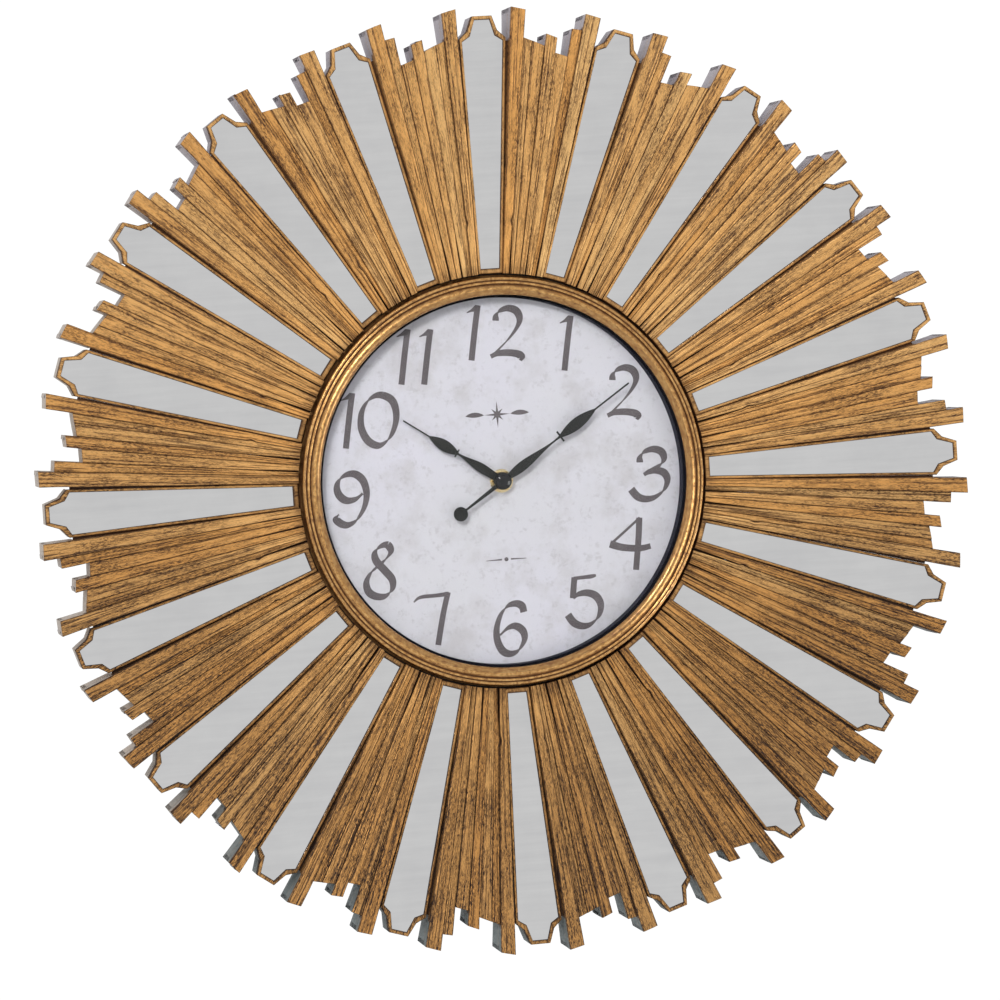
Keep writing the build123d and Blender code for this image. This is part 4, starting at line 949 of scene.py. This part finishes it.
def pen_stroke(parts, run, level):
    """Thin raised ribbon along (x, z) points, as wide as given third or as a broad nib makes it."""
    rows = []
    for i, (x, z, *given) in enumerate(run):
        before, after = run[max(i - 1, 0)], run[min(i + 1, len(run) - 1)]
        heading = atan2(after[1] - before[1], after[0] - before[0])
        nib = HAIRLINE + FULL_STROKE * abs(sin(heading - radians(NIB_ANGLE))) ** NIB_SOFTNESS
        width = given[0] if given else nib
        ax, az = -sin(heading) * width / 2, cos(heading) * width / 2
        top = level + STROKE_RISE * i / len(run)
        rows.append([((x + s * ax, -d, z + s * az), 0.0, 1.0) for s, d in (
            (1, DIAL_FRONT_DEPTH), (1, top), (-1, top), (-1, DIAL_FRONT_DEPTH))])
    parts.grid(rows)
    for index, flip in ((0, False), (-1, True)):
        parts.polygon([entry[0] for entry in rows[index]], flip=flip)


def numerals(material):
    """The twelve hour numerals, upright, drawn with a broad pen."""
    parts = Pieces()
    turn = radians(LEAN)
    for text, (middle_x, middle_z) in NUMERALS.items():
        strokes = []
        for place, digit in enumerate(text):
            shift = place * ADVANCE.get(text, 0.0)
            strokes += [[(p[0] + shift, *p[1:]) for p in flowing(stroke)] for stroke in DIGITS[digit]]
        xs = [point[0] for stroke in strokes for point in stroke]
        offset = (min(xs) + max(xs)) / 2
        for number, stroke in enumerate(strokes):
            run = []
            for x, z, *given in stroke:
                across, up = (x - offset) * NUMERAL_HEIGHT, (z - 0.5) * NUMERAL_HEIGHT
                run.append((
                    middle_x + across * cos(turn) + up * sin(turn),
                    middle_z - across * sin(turn) + up * cos(turn),
                    *given,
                ))
            pen_stroke(parts, run, DIAL_FRONT_DEPTH + INK_HEIGHT + STROKE_STEP * number)
    parts.build("dial_numerals", material, "root", smooth=60)


STAR_Z = 47.0
STAR_REACH = (9.5, 5.8, 2.2)          # long points, short points, notches between them
LEAF_START = 9.5
LEAF_LENGTH = 13.5
LEAF_HEIGHT = 2.3
LEAF_STEPS = 12
RULE_CORNERS = ((3.2, -56.2), (14.5, -56.0), (14.5, -55.6), (3.2, -55.0))
DOT_Z = -55.6
DOT_R = 1.5


def ornament(material):
    """Plain printed ornament: a compass star between two leaves above, and a small rule below."""
    parts = Pieces()
    level = DIAL_FRONT_DEPTH + INK_HEIGHT

    def shape(points):
        top = [(x, -level, z) for x, z in points]
        foot = [(x, -DIAL_FRONT_DEPTH, z) for x, z in points]
        parts.polygon(top)
        parts.grid([[(p, 0.0, 1.0) for p in foot], [(p, 0.0, 1.0) for p in top]], closed=True, flip=True)

    star = []
    for k in range(16):
        reach = STAR_REACH[0] if k % 4 == 0 else STAR_REACH[1 if k % 2 == 0 else 2]
        star.append((reach * sin(k * pi / 8), STAR_Z + reach * cos(k * pi / 8)))
    shape(star)
    shares = [k / LEAF_STEPS for k in range(LEAF_STEPS + 1)]
    for side in (-1, 1):
        upper = [
            (side * (LEAF_START + LEAF_LENGTH * t), STAR_Z + LEAF_HEIGHT * sin(pi * t) ** 0.8) for t in shares
        ]
        lower = [(x, STAR_Z - (z - STAR_Z) * 0.55) for x, z in reversed(upper[1:-1])]
        leaf = upper + lower
        shape(leaf[::-1] if side < 0 else leaf)
        bar = [(side * x, z) for x, z in RULE_CORNERS]
        shape(bar[::-1] if side > 0 else bar)
    shape([(DOT_R * sin(k * pi / 8), DOT_Z + DOT_R * cos(k * pi / 8)) for k in range(16)])
    parts.build("dial_ornament", material, "root", smooth=60)


# ---- CAD nodes that keep their own shape ----

SHARP_ANGLE = 40                      # edges sharper than this are rounded


def finish_node(name, material, bevel=0.0):
    """Gives a carried-over node its material, and rounds its sharp edges a little."""
    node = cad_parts[name]
    if not node.material_slots:
        node.data.materials.append(material)
    for slot in node.material_slots:
        slot.link = "OBJECT"
        slot.material = material
    if bevel:
        rounding = node.modifiers.new("rounded_edges", "BEVEL")
        rounding.width = bevel * MM
        rounding.segments = 2
        rounding.limit_method = "ANGLE"
        rounding.angle_limit = radians(SHARP_ANGLE)
        rounding.use_clamp_overlap = True


def finish_nodes():
    black = moulded("black_plastic", (0.012, 0.012, 0.013), (0.024, 0.024, 0.026), 0.45)
    charcoal = moulded("charcoal_plastic", (0.026, 0.025, 0.027), (0.046, 0.044, 0.046), 0.55, 900.0, 0.00006)
    navy = moulded("spacer_plastic", (0.008, 0.009, 0.020), (0.014, 0.015, 0.030), 0.8, specular=0.12)
    rubber = moulded("rubber", (0.02, 0.02, 0.02), (0.035, 0.034, 0.033), 0.75, 700.0, 0.00006, 0.04)
    cream = moulded("gear_plastic", (0.62, 0.60, 0.54), (0.74, 0.72, 0.66), 0.4, 1800.0, 0.00002)
    red = moulded("knob_plastic", (0.42, 0.03, 0.02), (0.55, 0.05, 0.03), 0.38, 1600.0, 0.00003)
    hands = moulded("hand_black", (0.010, 0.011, 0.010), (0.024, 0.025, 0.024), 0.5, 1500.0, 0.00002,
                    0.12, 0.25)
    steel = worked_metal("zinc_steel", (0.58, 0.58, 0.60), 0.32)
    brass = worked_metal("brass", (0.86, 0.62, 0.28), 0.22, (60, 60, 1500), 0.2)
    pale_brass = worked_metal("pale_brass", (0.83, 0.70, 0.43), 0.25, (60, 60, 1500), 0.12)
    magnet = worked_metal("ferrite", (0.10, 0.10, 0.11), 0.5)
    silvered = silvered_glass()
    plan = (
        (charcoal, 0.4, "back_housing"),
        (steel, 0.15, "housing_screws", "hanger_screws"),
        (steel, 0.2, "hanger_plate"),
        (printed_card(), 0.0, "dial_plate"),
        (navy, 0.15, "spacer_ring"),
        (clear_glass(), 0.0, "glass_lens"),
        (black, 0.3, "movement_case"),
        (black, 0.2, "movement_cover"),
        (rubber, 0.1, "rubber_washer"),
        (pale_brass, 0.12, "brass_washer"),
        (brass, 0.15, "fixing_nut"),
        (cream, 0.0, "motion_wheel", "third_wheel", "second_wheel", "intermediate_wheel",
         "centre_wheel", "hour_wheel"),
        (magnet, 0.0, "rotor"),
        (brass, 0.0, "minute_arbor"),
        (red, 0.08, "setting_knob"),
        (steel, 0.05, "stator"),
        (wound_copper(), 0.0, "coil"),
        (circuit(), 0.0, "circuit_board"),
        (brass, 0.08, "battery_contacts"),
        (hands, 0.18, "hour_hand", "minute_hand"),
    )
    for material, bevel, *names in plan:
        for name in names:
            finish_node(name, material, bevel)
    low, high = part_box("battery")
    finish_node("battery", wrapped_battery(low[0], high[0]), 0.15)
    for index in range(2 * SEGMENTS):
        finish_node(f"mirror_{index + 1:02d}", silvered)
    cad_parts["glass_lens"].visible_shadow = False


# ---- Stage ----

VIEW_AZIMUTH = -11.0
VIEW_ELEVATION = 2.5
VIEW_ROLL = -3.66
VIEW_DISTANCE = 2.905
VIEW_TARGET = Vector((0.0023, 0.0, -0.0144))
LENS = 146.9
SENSOR_WIDTH = 36.0
ROOM_BRIGHTNESS = 0.66
BACKDROP_BRIGHTNESS = 1.05
KEY_LAMP = ((-1.1, -2.7, 1.25), 0.5, 26.0)          # place, size, power
REFLECTOR_LAMP = ((2.1, -1.8, -0.85), 1.3, 17.0)
FLOOR_HALF_WIDTH = 3.0
FLOOR_HEIGHT = -1.55


def floor():
    """Pale floor, well below a clock that hangs at eye height."""
    size, height = FLOOR_HALF_WIDTH, FLOOR_HEIGHT
    mesh = bpy.data.meshes.new("floor")
    corners = [(x, y, height) for x, y in ((-size, -size), (size, -size), (size, size), (-size, size))]
    mesh.from_pydata(corners, [], [(0, 1, 2, 3)])
    paint = Paint("floor_paint", roughness=0.8)
    cloud = paint.noise(3.0, 3.0)
    paint.put("Base Color", paint.mix(cloud, (0.86, 0.86, 0.86), (0.89, 0.89, 0.885)))
    mesh.materials.append(paint.material)
    ground = new_object("floor", mesh)


def soft_light(name, place, size, power, diffuse=True):
    """Square lamp that faces the middle of the clock and isn't seen itself."""
    light = bpy.data.lights.new(name, "AREA")
    light.shape = "SQUARE"
    light.size = size
    light.energy = power
    lamp = new_object(name, light)
    lamp.location = place
    lamp.rotation_euler = (-Vector(place)).to_track_quat("-Z", "Y").to_euler()
    lamp.visible_camera = False
    lamp.visible_diffuse = diffuse


def studio():
    """White surroundings, a soft light from the upper left and a large reflector to the lower right."""
    scene = bpy.context.scene
    scene.view_settings.view_transform = "Standard"
    scene.view_settings.look = "None"
    world = bpy.data.worlds.new("studio")
    scene.world = world
    world.use_nodes = True
    tree = world.node_tree
    backdrop = tree.nodes["Background"]
    ray = tree.nodes.new("ShaderNodeLightPath")
    strength = tree.nodes.new("ShaderNodeMapRange")
    tree.links.new(ray.outputs["Is Camera Ray"], strength.inputs["Value"])
    strength.inputs["To Min"].default_value = ROOM_BRIGHTNESS
    strength.inputs["To Max"].default_value = BACKDROP_BRIGHTNESS
    tree.links.new(strength.outputs["Result"], backdrop.inputs["Strength"])
    backdrop.inputs["Color"].default_value = (1.0, 1.0, 1.0, 1.0)
    soft_light("key_upper_left", *KEY_LAMP)
    soft_light("reflector_lower_right", *REFLECTOR_LAMP, diffuse=False)


def camera():
    """Camera a little to the left of the clock's axis and above it, rolled as the clock hung."""
    azimuth, elevation = radians(VIEW_AZIMUTH), radians(VIEW_ELEVATION)
    away = Vector((sin(azimuth) * cos(elevation), -cos(azimuth) * cos(elevation), sin(elevation)))
    data = bpy.data.cameras.new("camera")
    data.lens = LENS
    data.sensor_width = SENSOR_WIDTH
    view = new_object("camera", data)
    view.location = VIEW_TARGET + VIEW_DISTANCE * away
    aim = (-away).to_track_quat("-Z", "Y").to_matrix()
    roll = Euler((0, 0, radians(VIEW_ROLL))).to_matrix()
    view.rotation_euler = (aim @ roll).to_euler()
    bpy.context.scene.camera = view


planks = gold_planks()
ink = printing_ink()
for number in range(SEGMENTS):
    segment(number, planks)
bezel(gold_ring())
cap(moulded("gloss_black", (0.006, 0.006, 0.007), (0.010, 0.010, 0.012), 0.055, 500.0, 0.000004, 0.02))
numerals(ink)
ornament(ink)
finish_nodes()
floor()
studio()
camera()
